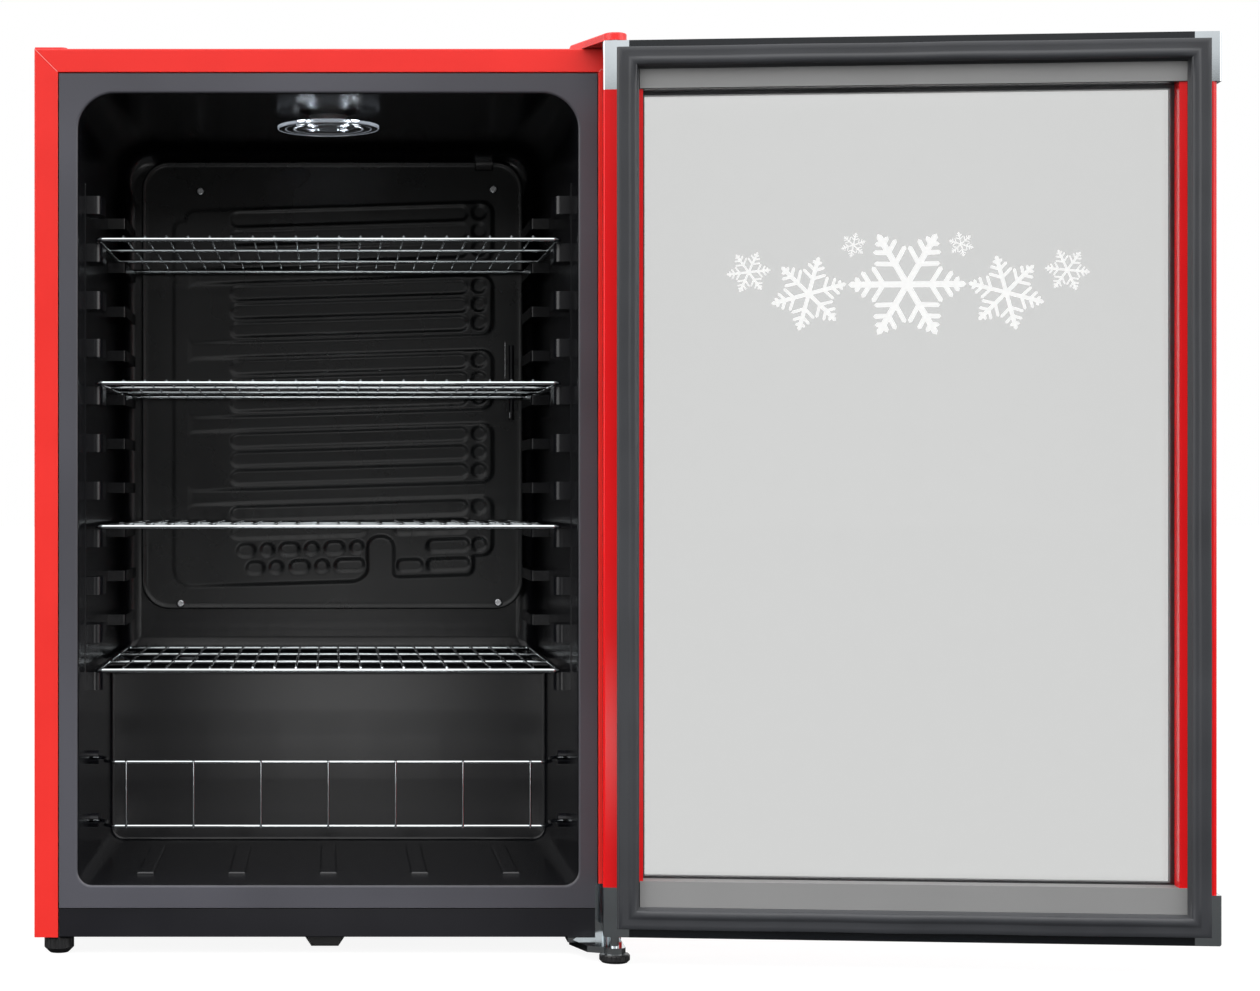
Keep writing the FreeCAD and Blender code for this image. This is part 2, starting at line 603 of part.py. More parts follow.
def make_terminal_box():
    cover = box(COMP_X + 80, COMP_X + 112, COMP_Y - 24, COMP_Y + 24, 74, 130)
    cover = cover.makeFillet(4.0, edges_where(cover, lambda b: b.XMin > COMP_X + 111))
    gland = cyl(COMP_X + 96, COMP_Y, 66, 5, 9)
    return fuse([cover, gland])


def make_condenser_tube():
    y = CAB_D + 17
    x = 198.0
    passes = 13
    pts = [(-222, y, 56), (-222, y, 260)]
    for i in range(passes - 1):
        side = 1 if i % 2 == 0 else -1
        pts.append((side * x, y, 260 + 40.0 * i))
        pts.append((side * x, y, 300 + 40.0 * i))
    top = 260 + 40.0 * (passes - 1)
    pts += [(222, y, top), (222, y, 62)]
    return bent_rod(pts, 2.4, 11.0)


def make_condenser_wires():
    out = []
    y = CAB_D + 17
    for face in (-1, 1):
        for i in range(23):
            x = (i - 11) * 16.5
            out.append(rod((x, y + face * 3.0, 246), (x, y + face * 3.0, 794), 0.8))
    return group(out)


def make_condenser_brackets():
    out = []
    y = CAB_D + 17
    for z in CLIP_Z:
        for x in (-206, 206):
            foot = box(x - 9, x + 9, CAB_D, CAB_D + 2, z - 12, z + 12)
            arm = box(x - 2, x + 2, CAB_D + 1, y + 6, z - 5, z + 5)
            hook = box(x - 9 if x > 0 else x, x if x > 0 else x + 9, y + 2.9, y + 6, z - 5, z + 5)
            clip = fuse([foot, arm, hook])
            clip = clip.cut(cyl(x, CAB_D - 1, z, 1.8, 6, (0, 1, 0)))
            out.append(clip)
    return group(out)


def make_filter_drier():
    return turned([(0, 88), (2.2, 88), (2.2, 96), (9, 104), (9, 168), (3.5, 178), (3.5, 186),
                   (0, 186)], DRIER_X, DRIER_Y)


def make_refrigerant_pipes():
    rear = CAB_D + 17
    discharge = bent_rod([(29.0, 425.0, 80), (10, 430, 80), (0, 446, 60), (-222, 446, 60),
                          (-222, rear, 44), (-222, rear, 55.6)], 2.4, 4.0)
    liquid = bent_rod([(222, rear, 61.6), (222, rear, 40), (DRIER_X, rear, 40),
                       (DRIER_X, DRIER_Y, 40), (DRIER_X, DRIER_Y, 87.6)], 2.4, 6.0)
    suction = bent_rod([(27.6, COMP_Y, 118), (2, COMP_Y, 118), (-20, 380, 30), (-128, 380, 30),
                        (-140, 432, 30), (-140, 432, 59.6)], 3.4, 9.0)
    riser = bent_rod(SUCTION_PATH, 4.2, 9.0)
    capillary = bent_rod([(DRIER_X, DRIER_Y, 186.4), (DRIER_X, DRIER_Y, 194), (-118, 420, 196),
                          (-131, 425, 190), (-131, 429, 150)], 1.0, 1.8)
    return group([discharge, liquid, suction, riser, capillary])


def make_drip_tray():
    tray = box(-192, -118, 349, 393, 140, 176)
    tray = tray.makeFillet(8.0, edges_where(tray, lambda b: b.ZLength > 20))
    inner = box(-190, -120, 351, 391, 142, 180)
    inner = inner.makeFillet(6.5, edges_where(inner, lambda b: b.ZLength > 20))
    rim = box(-196, -114, 345, 397, 174, 176)
    rim = rim.cut(box(-190, -120, 351, 391, 170, 180))
    hanger_a = box(-196, -194, 355, 385, 174, BAY_Z)
    hanger_b = box(-116, -114, 355, 385, 174, BAY_Z)
    return fuse([tray.cut(inner), rim, hanger_a, hanger_b])


def make_drain_tube():
    profile = [(4.6, 180), (6, 180), (6, HUMP_Z), (10, HUMP_Z), (10, HUMP_Z + 1.2),
               (8.6, HUMP_Z + 1.2), (4.6, HUMP_Z - 1.6)]
    return turned(profile, DRAIN_X, DRAIN_Y)


def make_cord_gland():
    body = cyl(205, CAB_D - 10, 118, 7.5, 18, (0, 1, 0))
    flange = cyl(205, CAB_D - 1.0, 118, 11, 4.0, (0, 1, 0))
    gland = fuse([body, flange])
    return gland.cut(cyl(205, CAB_D - 12, 118, 3.6, 30, (0, 1, 0)))


# ---- feet ---------------------------------------------------------------------------------
def make_left_foot_knob():
    knob = turned([(0, 0), (8.6, 0), (10.4, 1.6), (13.8, 5.0), (13.8, 13.6), (12.2, 16), (0, 16)],
                  -251, 17)
    flutes = []
    for i in range(24):
        a = math.radians(15 * i)
        x = -251 + 14.3 * math.cos(a)
        y = 17 + 14.3 * math.sin(a)
        flutes.append(cyl(x, y, 2, 1.1, 16))
    return knob.cut(group(flutes)).cut(cyl(-251, 17, 6, 4.0, 12))


def make_left_foot_stud():
    return cyl(-251, 17, 6, 4.0, 32)


def make_hinge_foot():
    knob = turned([(4.05, 2.0), (0, 2.0), (0, 0), (11.6, 0), (14.0, 2.4), (14.0, 6.4), (13.0, 7.8),
                   (4.05, 7.8)], PIVOT_X, PIVOT_Y)
    flutes = []
    for i in range(20):
        a = math.radians(18 * i)
        x = PIVOT_X + 14.6 * math.cos(a)
        y = PIVOT_Y + 14.6 * math.sin(a)
        flutes.append(cyl(x, y, -1, 1.1, 12))
    return knob.cut(group(flutes))


def make_rear_feet():
    out = []
    for x in (-248.0, 248.0):
        out.append(turned([(0, 0), (11, 0), (13, 2), (14, 15.9), (0, 15.9)], x, 430))
    return group(out)


# ---- hinges -------------------------------------------------------------------------------
def nose_plate(r, rear_pts, z0, z1):
    """A flat plate with a round nose at the pivot and straight sides to the rear points."""
    start = V(PIVOT_X + r, PIVOT_Y, z0)
    a = math.radians(190)
    end = V(PIVOT_X + r * math.cos(a), PIVOT_Y + r * math.sin(a), z0)
    low = V(PIVOT_X, PIVOT_Y - r, z0)
    arc = Part.Arc(start, low, end).toShape()
    pts = [end] + [V(x, y, z0) for x, y in rear_pts] + [start]
    edges = [arc] + [Part.makeLine(p, q) for p, q in zip(pts, pts[1:])]
    return Part.Face(Part.Wire(edges)).extrude(V(0, 0, z1 - z0))


def make_top_hinge_plate():
    rear = [(228.9, 22.5), (228.9, 57.0), (270.0, 57.0), (270.0, -30.0)]
    plate = nose_plate(8.5, rear, CAB_Z1, CAB_Z1 + 2.5)
    for x, y in TOP_SCREWS:
        plate = plate.cut(cyl(x, y, CAB_Z1 - 1, 2.4, 6))
    return plate.cut(cyl(PIVOT_X, PIVOT_Y, CAB_Z1 - 1, PIN_R, 6))


def make_top_hinge_pin():
    shaft = cyl(PIVOT_X, PIVOT_Y, 824.5, PIN_R, 18.0)
    head = cyl(PIVOT_X, PIVOT_Y, CAB_Z1 + 2.5, 4.6, 1.2)
    return fuse([shaft, head])


def make_top_hinge_cover():
    rear = [(226.5, 22.0), (226.5, 60.0), (272.5, 60.0)]
    outer = nose_plate(11.0, rear, CAB_Z1, CAB_Z1 + 7.0)
    rim = edges_where(outer, lambda b: b.ZMin > CAB_Z1 + 6.9)
    outer = outer.makeFillet(1.6, rim)
    rear_in = [(228.2, 22.7), (228.2, 58.4), (271.0, 58.4)]
    return outer.cut(nose_plate(9.5, rear_in, CAB_Z1 - 1, CAB_Z1 + 5.6))


def make_spare_hinge_cover():
    plate = box(-HW, -HW + 30, 5, 60, CAB_Z1, CAB_Z1 + 2.2)
    corners = edges_where(plate, lambda b: b.ZLength > 1 and b.XMin > -HW + 20)
    plate = plate.makeFillet(6.0, corners)
    return plate.makeFillet(0.9, edges_where(plate, lambda b: b.ZMin > CAB_Z1 + 2.1))


def make_bottom_hinge_bracket():
    tongue = nose_plate(10.0, [(237.0, -31.0), (224.0, 8.0), (271.5, 8.0)], 8.0, 13.8)
    pad = box(222.0, 271.5, -0.7, 44.0, 11.5, 16.0)
    upright = box(247.4, 262.0, -0.7, 0.0, 13.0, 66.0)
    upright = upright.makeFillet(3.0, edges_where(
        upright, lambda b: b.ZMin > 65.9 and b.YLength > 0.5 and b.XLength < 0.1))
    bracket = fuse([tongue, pad, upright])
    for x, y in BOTTOM_SCREWS:
        bracket = bracket.cut(cyl(x, y, 7, 2.4, 12))
    return bracket.cut(cyl(PIVOT_X, PIVOT_Y, 7, 4.0, 8))


def make_bottom_hinge_pin():
    low = cyl(PIVOT_X, PIVOT_Y, 2.4, 4.0, DOOR_Z0 - 0.2 - 2.4)
    high = cyl(PIVOT_X, PIVOT_Y, DOOR_Z0 - 0.3, PIN_R, 15.7)
    tip = edges_where(high, lambda b: b.ZMin > 41)
    return fuse([low, high.makeFillet(1.0, tip)])


def make_hinge_screws():
    out = []
    for x, y in TOP_SCREWS:
        head = cyl(x, y, CAB_Z1 + 2.5, 4.2, 2.4)
        slot = box(x - 0.5, x + 0.5, y - 3, y + 3, CAB_Z1 + 3.7, CAB_Z1 + 6)
        out.append(fuse([head, cyl(x, y, CAB_Z1 - 16, 2.0, 19)]).cut(slot))
    for x, y in BOTTOM_SCREWS:
        head = cyl(x, y, 9.1, 4.2, 2.4)
        slot = box(x - 0.5, x + 0.5, y - 3, y + 3, 8, 10.3)
        out.append(fuse([head, cyl(x, y, 11, 2.0, 22)]).cut(slot))
    return group(out)


# ---- door, drawn closed -------------------------------------------------------------------
GLASS_Y = ((-46.0, -42.0), (-34.0, -30.0))
GLASS_X0 = -239.5
GLASS_X1 = 241.5
GLASS_Z0 = 72.6
GLASS_Z1 = 796.7


def glass_pocket():
    return box(GLASS_X0 - 0.2, GLASS_X1 + 0.2, GLASS_Y[0][0] - 0.2, GLASS_Y[1][1] + 0.2,
               GLASS_Z0 - 0.2, GLASS_Z1 + 0.2)


def make_hinge_stile():
    stile = box(SIGHT_X1, HW, DOOR_FRONT, DOOR_BACK, BOTTOM_RAIL_Z, TOP_RAIL_Z)
    toe = box(HW - CAP_W, HW, DOOR_FRONT, DOOR_BACK, CAP_LOW_Z, BOTTOM_RAIL_Z)
    stile = fuse([stile, toe])
    front = edges_where(stile, lambda b: b.ZLength > 50 and b.YMax < DOOR_FRONT + 1)
    stile = stile.makeFillet(3.0, front)
    stile = stile.makeFillet(2.4, edges_where(
        stile, lambda b: b.ZLength > 50 and b.XMin > HW - 0.1 and b.YMin > DOOR_BACK - 0.1))
    hollow = box(SIGHT_X1 + 7.5, HW - 2, DOOR_FRONT + 2.5, DOOR_BACK - 2, 0, 900)
    return stile.cut(hollow).cut(glass_pocket())


def make_handle_stile():
    x0 = -HW + 3.5
    stile = box(x0, SIGHT_X0, DOOR_FRONT, DOOR_BACK, BOTTOM_RAIL_Z, TOP_RAIL_Z)
    toe = box(x0, CAP_W - HW, DOOR_FRONT, DOOR_BACK, CAP_LOW_Z, BOTTOM_RAIL_Z)
    stile = fuse([stile, toe])
    front = edges_where(stile, lambda b: b.ZLength > 50 and b.YMax < DOOR_FRONT + 1)
    stile = stile.makeFillet(3.0, front)
    stile = stile.makeFillet(5.5, edges_where(
        stile, lambda b: b.ZLength > 50 and b.XMax < x0 + 0.1 and b.YMin > DOOR_BACK - 0.1))
    hollow = box(-252, SIGHT_X0 - 7, DOOR_FRONT + 2.5, DOOR_BACK - 2, 0, 900)
    grip = box(x0 - 1, x0 + 13, -42, -20, 330, 600)
    grip = grip.makeFillet(5.0, edges_where(grip, lambda b: b.XMin > x0 + 12))
    return stile.cut(hollow).cut(grip).cut(glass_pocket())


def make_top_rail():
    rail = box(-HW + CAP_W, HW - CAP_W, DOOR_FRONT, DOOR_BACK, TOP_RAIL_Z, DOOR_Z1)
    rail = rail.makeFillet(2.0, edges_where(
        rail, lambda b: b.XLength > 50 and b.YMax < DOOR_FRONT + 1 and b.ZMin > TOP_RAIL_Z + 1))
    hollow = box(-400, 400, DOOR_FRONT + 2.5, DOOR_BACK - 2, TOP_RAIL_Z + 7, DOOR_Z1 - 2.5)
    return rail.cut(hollow).cut(glass_pocket())


def make_bottom_rail():
    rail = box(-HW + CAP_W, HW - CAP_W, DOOR_FRONT, DOOR_BACK, DOOR_Z0, BOTTOM_RAIL_Z)
    rail = rail.makeFillet(2.0, edges_where(
        rail, lambda b: b.XLength > 50 and b.YMax < DOOR_FRONT + 1 and b.ZMax < DOOR_Z0 + 1))
    hollow = box(-400, 400, DOOR_FRONT + 2.5, DOOR_BACK - 2, DOOR_Z0 + 2.5, BOTTOM_RAIL_Z - 7)
    return rail.cut(hollow).cut(glass_pocket())


def make_corner_caps():
    out = []
    for side in (-1, 1):
        for z0, z1 in ((DOOR_Z0, CAP_LOW_Z), (TOP_RAIL_Z, DOOR_Z1)):
            xs = sorted((side * (HW - CAP_W), side * HW))
            cap = box(xs[0], xs[1], DOOR_FRONT, DOOR_BACK, z0, z1)
            outer_z = z0 if z0 < 100 else z1
            cap = cap.makeFillet(2.4, edges_where(
                cap, lambda b: (b.ZLength > 5 and abs(b.XMin - side * HW) < 0.1)
                or (b.YLength > 5 and abs(b.XMin - side * HW) < 0.1 and abs(b.ZMin - outer_z) < 0.1)
            ))
            if side > 0 and z0 < 100:
                cap = cap.cut(cyl(PIVOT_X, PIVOT_Y, z0 - 1, 6.3, 18.4))
            if side > 0 and z0 > 100:
                cap = cap.cut(cyl(PIVOT_X, PIVOT_Y, z1 - 17.4, 6.3, 20))
            out.append(cap)
    return group(out)


def make_hinge_bushes():
    low = cyl(PIVOT_X, PIVOT_Y, DOOR_Z0, 6.0, 17.4).cut(
        cyl(PIVOT_X, PIVOT_Y, DOOR_Z0 - 1, BUSH_BORE_R, 17.4))
    high = cyl(PIVOT_X, PIVOT_Y, DOOR_Z1 - 17.4, 6.0, 17.4).cut(
        cyl(PIVOT_X, PIVOT_Y, DOOR_Z1 - 15, BUSH_BORE_R, 20))
    return group([low, high])


HINGE_LIP = 0.4


def make_gasket():
    x0 = -262.5
    x1 = 260.0
    z0 = 34.3
    z1 = 830.7

    def frame(inset_out, inset_in, y0, y1):
        outer = box(x0 + inset_out, x1 - inset_out, y0, y1, z0 + inset_out, z1 - inset_out)
        return outer.cut(box(x0 + inset_in, x1 - inset_in - HINGE_LIP, y0 - 1, y1 + 1,
                             z0 + inset_in, z1 - inset_in))

    base = frame(0, 20, DOOR_BACK, DOOR_BACK + 2.0)
    bellows = frame(3, 16, DOOR_BACK + 2.0, DOOR_BACK + 7.0)
    seal = frame(1, 18.5, DOOR_BACK + 7.0, GASKET_Y - 0.8)
    ridge = frame(11, 17.5, GASKET_Y - 0.8, GASKET_Y)
    return fuse([base, bellows, seal, ridge])


def make_glazing_strips():
    x0 = -242.2
    x1 = 239.3
    top = box(x0, x1, DOOR_BACK, DOOR_BACK + 1.6, TOP_RAIL_Z + 0.4, 810.5)
    low = box(x0, x1, DOOR_BACK, DOOR_BACK + 1.6, 54.5, BOTTOM_RAIL_Z + 1.2)
    sill = box(SIGHT_X0 + 0.2, SIGHT_X1 - 0.2, GLASS_Y[1][1] + 0.3, DOOR_BACK + 1.0,
               BOTTOM_RAIL_Z, BOTTOM_RAIL_Z + 1.2)
    return group([top, fuse([low, sill])])


def make_pane(i):
    y0, y1 = GLASS_Y[i]
    return box(GLASS_X0, GLASS_X1, y0, y1, GLASS_Z0, GLASS_Z1)


def make_glass_spacer():
    outer = box(GLASS_X0 + 1, GLASS_X1 - 1, GLASS_Y[0][1], GLASS_Y[1][0], GLASS_Z0 + 1, GLASS_Z1 - 1)
    inner = box(GLASS_X0 + 7, GLASS_X1 - 7, GLASS_Y[0][1] - 1, GLASS_Y[1][0] + 1,
                GLASS_Z0 + 7, GLASS_Z1 - 7)
    return outer.cut(inner)


# ---- export -------------------------------------------------------------------------------
def export(name, shape, in_door=False):
    out = shape.copy()
    if in_door:
        out.rotate(V(PIVOT_X, PIVOT_Y, 0), V(0, 0, 1), OPEN_ANGLE)
    out.translate(V(-PIVOT_X, -PIVOT_Y, 0))
    out.exportStep("parts/%s.step" % name)


os.makedirs("parts", exist_ok=True)

cavity = make_cavity(0.0)
cavity_shell = make_cavity(LINER_T)
cavity_foam = make_cavity(LINER_T + 0.3)
tunnel = make_tunnel(0.0)
tunnel_in = make_tunnel(-0.8)

export("outer_wrap", make_outer_wrap())
export("back_panel", make_back_panel())
export("bay_panel", make_bay_panel())
export("base_pan", make_base_pan())
export("compressor_plate", make_compressor_plate())
export("kick_panel", make_kick_panel())
export("base_bracket", make_base_bracket())
export("inner_liner", make_liner(cavity, cavity_shell))
export("insulation_foam", make_foam(cavity_foam))
export("shelf_support_left", make_shelf_support(-1, tunnel, tunnel_in))
export("shelf_support_right", make_shelf_support(1, tunnel, tunnel_in))

shelf = make_shelf()
for number, level in enumerate(SHELF_LEVELS):
    placed = shelf.copy()
    placed.translate(V(0, 0, LEDGE_TOP - level * LEDGE_PITCH + FRAME_R + 0.3))
    export("shelf_%d" % (number + 1), placed)

export("can_rail", make_can_rail())
export("can_rail_sockets", make_rail_sockets(tunnel))
export("evaporator_plate", make_evaporator_plate())
export("evaporator_screws", make_evaporator_screws())
export("sensor_clip", make_sensor_clip())
export("lamp_base", make_lamp_base())
export("lamp_board", make_lamp_board())
export("lamp_lens", make_lamp_lens())
export("control_box", make_control_box())
export("thermostat_knob", make_thermostat_knob())
export("light_switch_rocker", make_rocker())
export("compressor_shell", make_compressor_shell())
export("compressor_mounts", make_compressor_mounts())
export("compressor_bolts", make_compressor_bolts())
export("compressor_terminal_box", make_terminal_box())
export("condenser_tube", make_condenser_tube())
export("condenser_wires", make_condenser_wires())
export("condenser_brackets", make_condenser_brackets())
export("filter_drier", make_filter_drier())
export("refrigerant_pipes", make_refrigerant_pipes())
export("drip_tray", make_drip_tray())
export("drain_tube", make_drain_tube())
export("cord_gland", make_cord_gland())
export("left_foot_knob", make_left_foot_knob())
export("left_foot_stud", make_left_foot_stud())
export("hinge_foot", make_hinge_foot())
export("rear_feet", make_rear_feet())
export("top_hinge_plate", make_top_hinge_plate())
export("top_hinge_pin", make_top_hinge_pin())
export("top_hinge_cover", make_top_hinge_cover())
export("spare_hinge_cover", make_spare_hinge_cover())
export("bottom_hinge_bracket", make_bottom_hinge_bracket())
export("bottom_hinge_pin", make_bottom_hinge_pin())
export("hinge_screws", make_hinge_screws())

export("hinge_stile", make_hinge_stile(), True)
export("handle_stile", make_handle_stile(), True)
export("top_rail", make_top_rail(), True)
export("bottom_rail", make_bottom_rail(), True)
export("corner_caps", make_corner_caps(), True)
export("hinge_bushes", make_hinge_bushes(), True)
export("gasket", make_gasket(), True)
export("glazing_strips", make_glazing_strips(), True)
export("outer_glass", make_pane(0), True)
export("inner_glass", make_pane(1), True)
export("glass_spacer", make_glass_spacer(), True)
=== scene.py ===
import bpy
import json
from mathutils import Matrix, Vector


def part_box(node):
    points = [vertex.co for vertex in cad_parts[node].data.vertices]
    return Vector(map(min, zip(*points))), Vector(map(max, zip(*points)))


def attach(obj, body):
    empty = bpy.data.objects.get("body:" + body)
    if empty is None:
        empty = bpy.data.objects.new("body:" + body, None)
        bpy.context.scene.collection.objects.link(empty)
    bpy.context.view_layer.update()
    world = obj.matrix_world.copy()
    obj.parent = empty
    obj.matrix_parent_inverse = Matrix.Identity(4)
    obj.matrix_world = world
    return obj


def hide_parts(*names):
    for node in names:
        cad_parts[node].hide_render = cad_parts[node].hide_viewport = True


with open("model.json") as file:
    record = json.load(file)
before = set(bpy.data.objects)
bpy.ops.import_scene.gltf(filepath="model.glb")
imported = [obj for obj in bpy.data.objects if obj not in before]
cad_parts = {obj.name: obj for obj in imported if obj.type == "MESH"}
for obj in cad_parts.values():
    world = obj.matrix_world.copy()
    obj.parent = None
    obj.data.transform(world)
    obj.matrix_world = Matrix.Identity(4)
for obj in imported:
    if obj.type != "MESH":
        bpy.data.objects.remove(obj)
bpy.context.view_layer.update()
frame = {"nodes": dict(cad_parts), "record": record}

import json
import math

import bmesh
import bpy
import numpy as np
from mathutils import Matrix, Vector

NODES = frame["nodes"]
OPEN = math.radians(175.0)
CAB = Vector((-0.2615, 0.036, 0.0))   # the cabinet's middle, front plane, floor
EYE = (3.0, -2350.0, 428.0)           # where the camera stands, in the terms of cab()
SIDE_LEVEL = 3.0                      # studio brightness at the front corners of the room,
FRONT_LEVEL = 0.28                    # behind the camera,
TOP_LEVEL = 0.95                      # and above it
LOW_LIGHT = (-0.235, -1.27, 0.085)    # left of where the glass of the open door would mirror it
LAMP_Y = 150.0                        # the lamp's centre, behind the front plane
LED_COUNT = 4
LED_RING = 21.5                       # how far the LEDs stand from the lamp's centre
LED_RADIUS = 3.3
LED_HEIGHT = 2.1
BOARD_Z = 789.69                      # underside of the lamp board
SENSOR_Y = 399.5                      # front of the evaporator plate, where its sensor lies
SEAT_Y = -12.0                        # the closed door's inner face, where the gasket sits
PRINT_Y = -41.97                      # just inside the closed door's outer pane
PRINT_MIDDLE = (-2.0, 617.0)          # the large crystal's place on the pane, across and up


def cab(x, y, z):
    """A point given in millimetres from the cabinet's middle, front plane and floor."""
    return Vector((x / 1000.0, y / 1000.0, z / 1000.0)) + CAB


# ---- camera -------------------------------------------------------------------------------
cam_data = bpy.data.cameras.new("camera")
cam_data.sensor_width = 36.0
cam_data.lens = 72.43
cam_data.shift_x = 0.237
cam_data.shift_y = -0.002
cam_data.clip_start = 0.05
cam_data.clip_end = 60.0
camera = bpy.data.objects.new("camera", cam_data)
bpy.context.scene.collection.objects.link(camera)
camera.location = cab(*EYE)
camera.rotation_euler = (math.radians(90.0), 0.0, 0.0)
bpy.context.scene.camera = camera


# ---- light and stage ----------------------------------------------------------------------
scene = bpy.context.scene
scene.view_settings.view_transform = "Standard"
scene.view_settings.look = "None"
world = bpy.data.worlds.new("studio")
scene.world = world
world.use_nodes = True


def build_world(tree):
    """White seen directly and from behind; a dark front, with a bright ring round its sides.

    The generated coordinate is the direction looked in: X to the right, Y away from the front,
    Z up. So front is 1 straight out of the cabinet's mouth, and 0 to its sides.
    """
    new = tree.nodes.new
    link = tree.links.new
    back = tree.nodes["Background"]

    def calc(operation, a, b):
        node = new("ShaderNodeMath")
        node.operation = operation
        for i, value in enumerate((a, b)):
            if isinstance(value, float):
                node.inputs[i].default_value = value
            else:
                link(value, node.inputs[i])
        return node.outputs[0]

    def ramp(value, low, high, at_low, at_high):
        node = new("ShaderNodeMapRange")
        node.interpolation_type = "SMOOTHSTEP"
        link(value, node.inputs["Value"])
        node.inputs["From Min"].default_value = low
        node.inputs["From Max"].default_value = high
        node.inputs["To Min"].default_value = at_low
        node.inputs["To Max"].default_value = at_high
        return node.outputs["Result"]

    coord = new("ShaderNodeTexCoord")
    split = new("ShaderNodeSeparateXYZ")
    link(coord.outputs["Generated"], split.inputs[0])
    front = calc("MULTIPLY", split.outputs["Y"], -1.0)
    ring = ramp(front, -0.05, 0.2, 1.0, SIDE_LEVEL)
    centre = ramp(front, 0.60, 0.85, 0.0, 1.0)
    glow = calc("MULTIPLY", ramp(split.outputs["X"], -0.11, 0.03, 0.05, FRONT_LEVEL),
                ramp(split.outputs["X"], 0.06, 0.16, 1.0, 0.35))
    high = calc("ADD", glow, ramp(split.outputs["Z"], 0.143, 0.165, 0.0, TOP_LEVEL))
    level = calc("ADD", calc("MULTIPLY", ring, calc("SUBTRACT", 1.0, centre)),
                 calc("MULTIPLY", high, centre))
    path = new("ShaderNodeLightPath")
    seen = calc("MAXIMUM", path.outputs["Is Camera Ray"], path.outputs["Is Transmission Ray"])
    final = calc("ADD", calc("MULTIPLY", level, calc("SUBTRACT", 1.0, seen)), seen)
    back.inputs[0].default_value = (1.0, 1.0, 1.0, 1.0)
    link(final, back.inputs[1])


build_world(world.node_tree)


def area_light(name, where, target, width, height, power):
    data = bpy.data.lights.new(name, "AREA")
    data.shape = "RECTANGLE"
    data.size = width
    data.size_y = height
    data.energy = power
    light = bpy.data.objects.new(name, data)
    scene.collection.objects.link(light)
    light.location = where
    light.rotation_euler = (Vector(target) - Vector(where)).to_track_quat("-Z", "Y").to_euler()


area_light("low_front", LOW_LIGHT, (LOW_LIGHT[0], 0.3, 0.12), width=0.33, height=0.15, power=0.8)


# ---- materials ----------------------------------------------------------------------------
def principled(name):
    """A new material, its node tree and its shader."""
    mat = bpy.data.materials.new(name)
    mat.use_nodes = True
    return mat, mat.node_tree, mat.node_tree.nodes["Principled BSDF"]


def surface(name, color, rough, metal=0.0, grain=900.0, bump=0.05, depth=0.0002, tone=0.12,
            coat=0.0, spec=0.5, mottle=14.0, rough_var=0.12):
    """A finish with fine grain in its bump, and slow variation in its tone and roughness."""
    mat, tree, bsdf = principled(name)
    new = tree.nodes.new
    link = tree.links.new
    coord = new("ShaderNodeTexCoord")
    slow = new("ShaderNodeTexNoise")
    slow.inputs["Scale"].default_value = mottle
    slow.inputs["Detail"].default_value = 4.0
    link(coord.outputs["Object"], slow.inputs["Vector"])
    ramp = new("ShaderNodeValToRGB")
    dark = tuple(c * (1.0 - tone) for c in color) + (1.0,)
    light = tuple(min(1.0, c * (1.0 + tone)) for c in color) + (1.0,)
    ramp.color_ramp.elements[0].position = 0.3
    ramp.color_ramp.elements[0].color = dark
    ramp.color_ramp.elements[1].position = 0.7
    ramp.color_ramp.elements[1].color = light
    link(slow.outputs["Fac"], ramp.inputs["Fac"])
    link(ramp.outputs["Color"], bsdf.inputs["Base Color"])
    span = new("ShaderNodeMapRange")
    span.inputs["From Min"].default_value = 0.3
    span.inputs["From Max"].default_value = 0.7
    span.inputs["To Min"].default_value = max(0.02, rough * (1.0 - rough_var))
    span.inputs["To Max"].default_value = min(1.0, rough * (1.0 + rough_var))
    link(slow.outputs["Fac"], span.inputs["Value"])
    link(span.outputs["Result"], bsdf.inputs["Roughness"])
    fine = new("ShaderNodeTexNoise")
    fine.inputs["Scale"].default_value = grain
    fine.inputs["Detail"].default_value = 3.0
    link(coord.outputs["Object"], fine.inputs["Vector"])
    lump = new("ShaderNodeBump")
    lump.inputs["Strength"].default_value = bump
    lump.inputs["Distance"].default_value = depth
    link(fine.outputs["Fac"], lump.inputs["Height"])
    link(lump.outputs["Normal"], bsdf.inputs["Normal"])
    bsdf.inputs["Metallic"].default_value = metal
    bsdf.inputs["Specular IOR Level"].default_value = spec
    if coat:
        bsdf.inputs["Coat Weight"].default_value = coat
        bsdf.inputs["Coat Roughness"].default_value = 0.08
    return mat


def clear(name, color, rough=0.02, ior=1.5):
    """Clear glass or moulded plastic, with a faint smear in its roughness."""
    mat, tree, bsdf = principled(name)
    coord = tree.nodes.new("ShaderNodeTexCoord")
    smear = tree.nodes.new("ShaderNodeTexNoise")
    smear.inputs["Scale"].default_value = 9.0
    tree.links.new(coord.outputs["Object"], smear.inputs["Vector"])
    span = tree.nodes.new("ShaderNodeMapRange")
    span.inputs["To Min"].default_value = rough * 0.6
    span.inputs["To Max"].default_value = rough * 1.6
    tree.links.new(smear.outputs["Fac"], span.inputs["Value"])
    tree.links.new(span.outputs["Result"], bsdf.inputs["Roughness"])
    bsdf.inputs["Base Color"].default_value = tuple(color) + (1.0,)
    bsdf.inputs["Transmission Weight"].default_value = 1.0
    bsdf.inputs["IOR"].default_value = ior
    return mat


def glowing(name, color, power):
    """A surface that gives light."""
    mat, _, bsdf = principled(name)
    bsdf.inputs["Base Color"].default_value = tuple(color) + (1.0,)
    bsdf.inputs["Emission Color"].default_value = tuple(color) + (1.0,)
    bsdf.inputs["Emission Strength"].default_value = power
    return mat


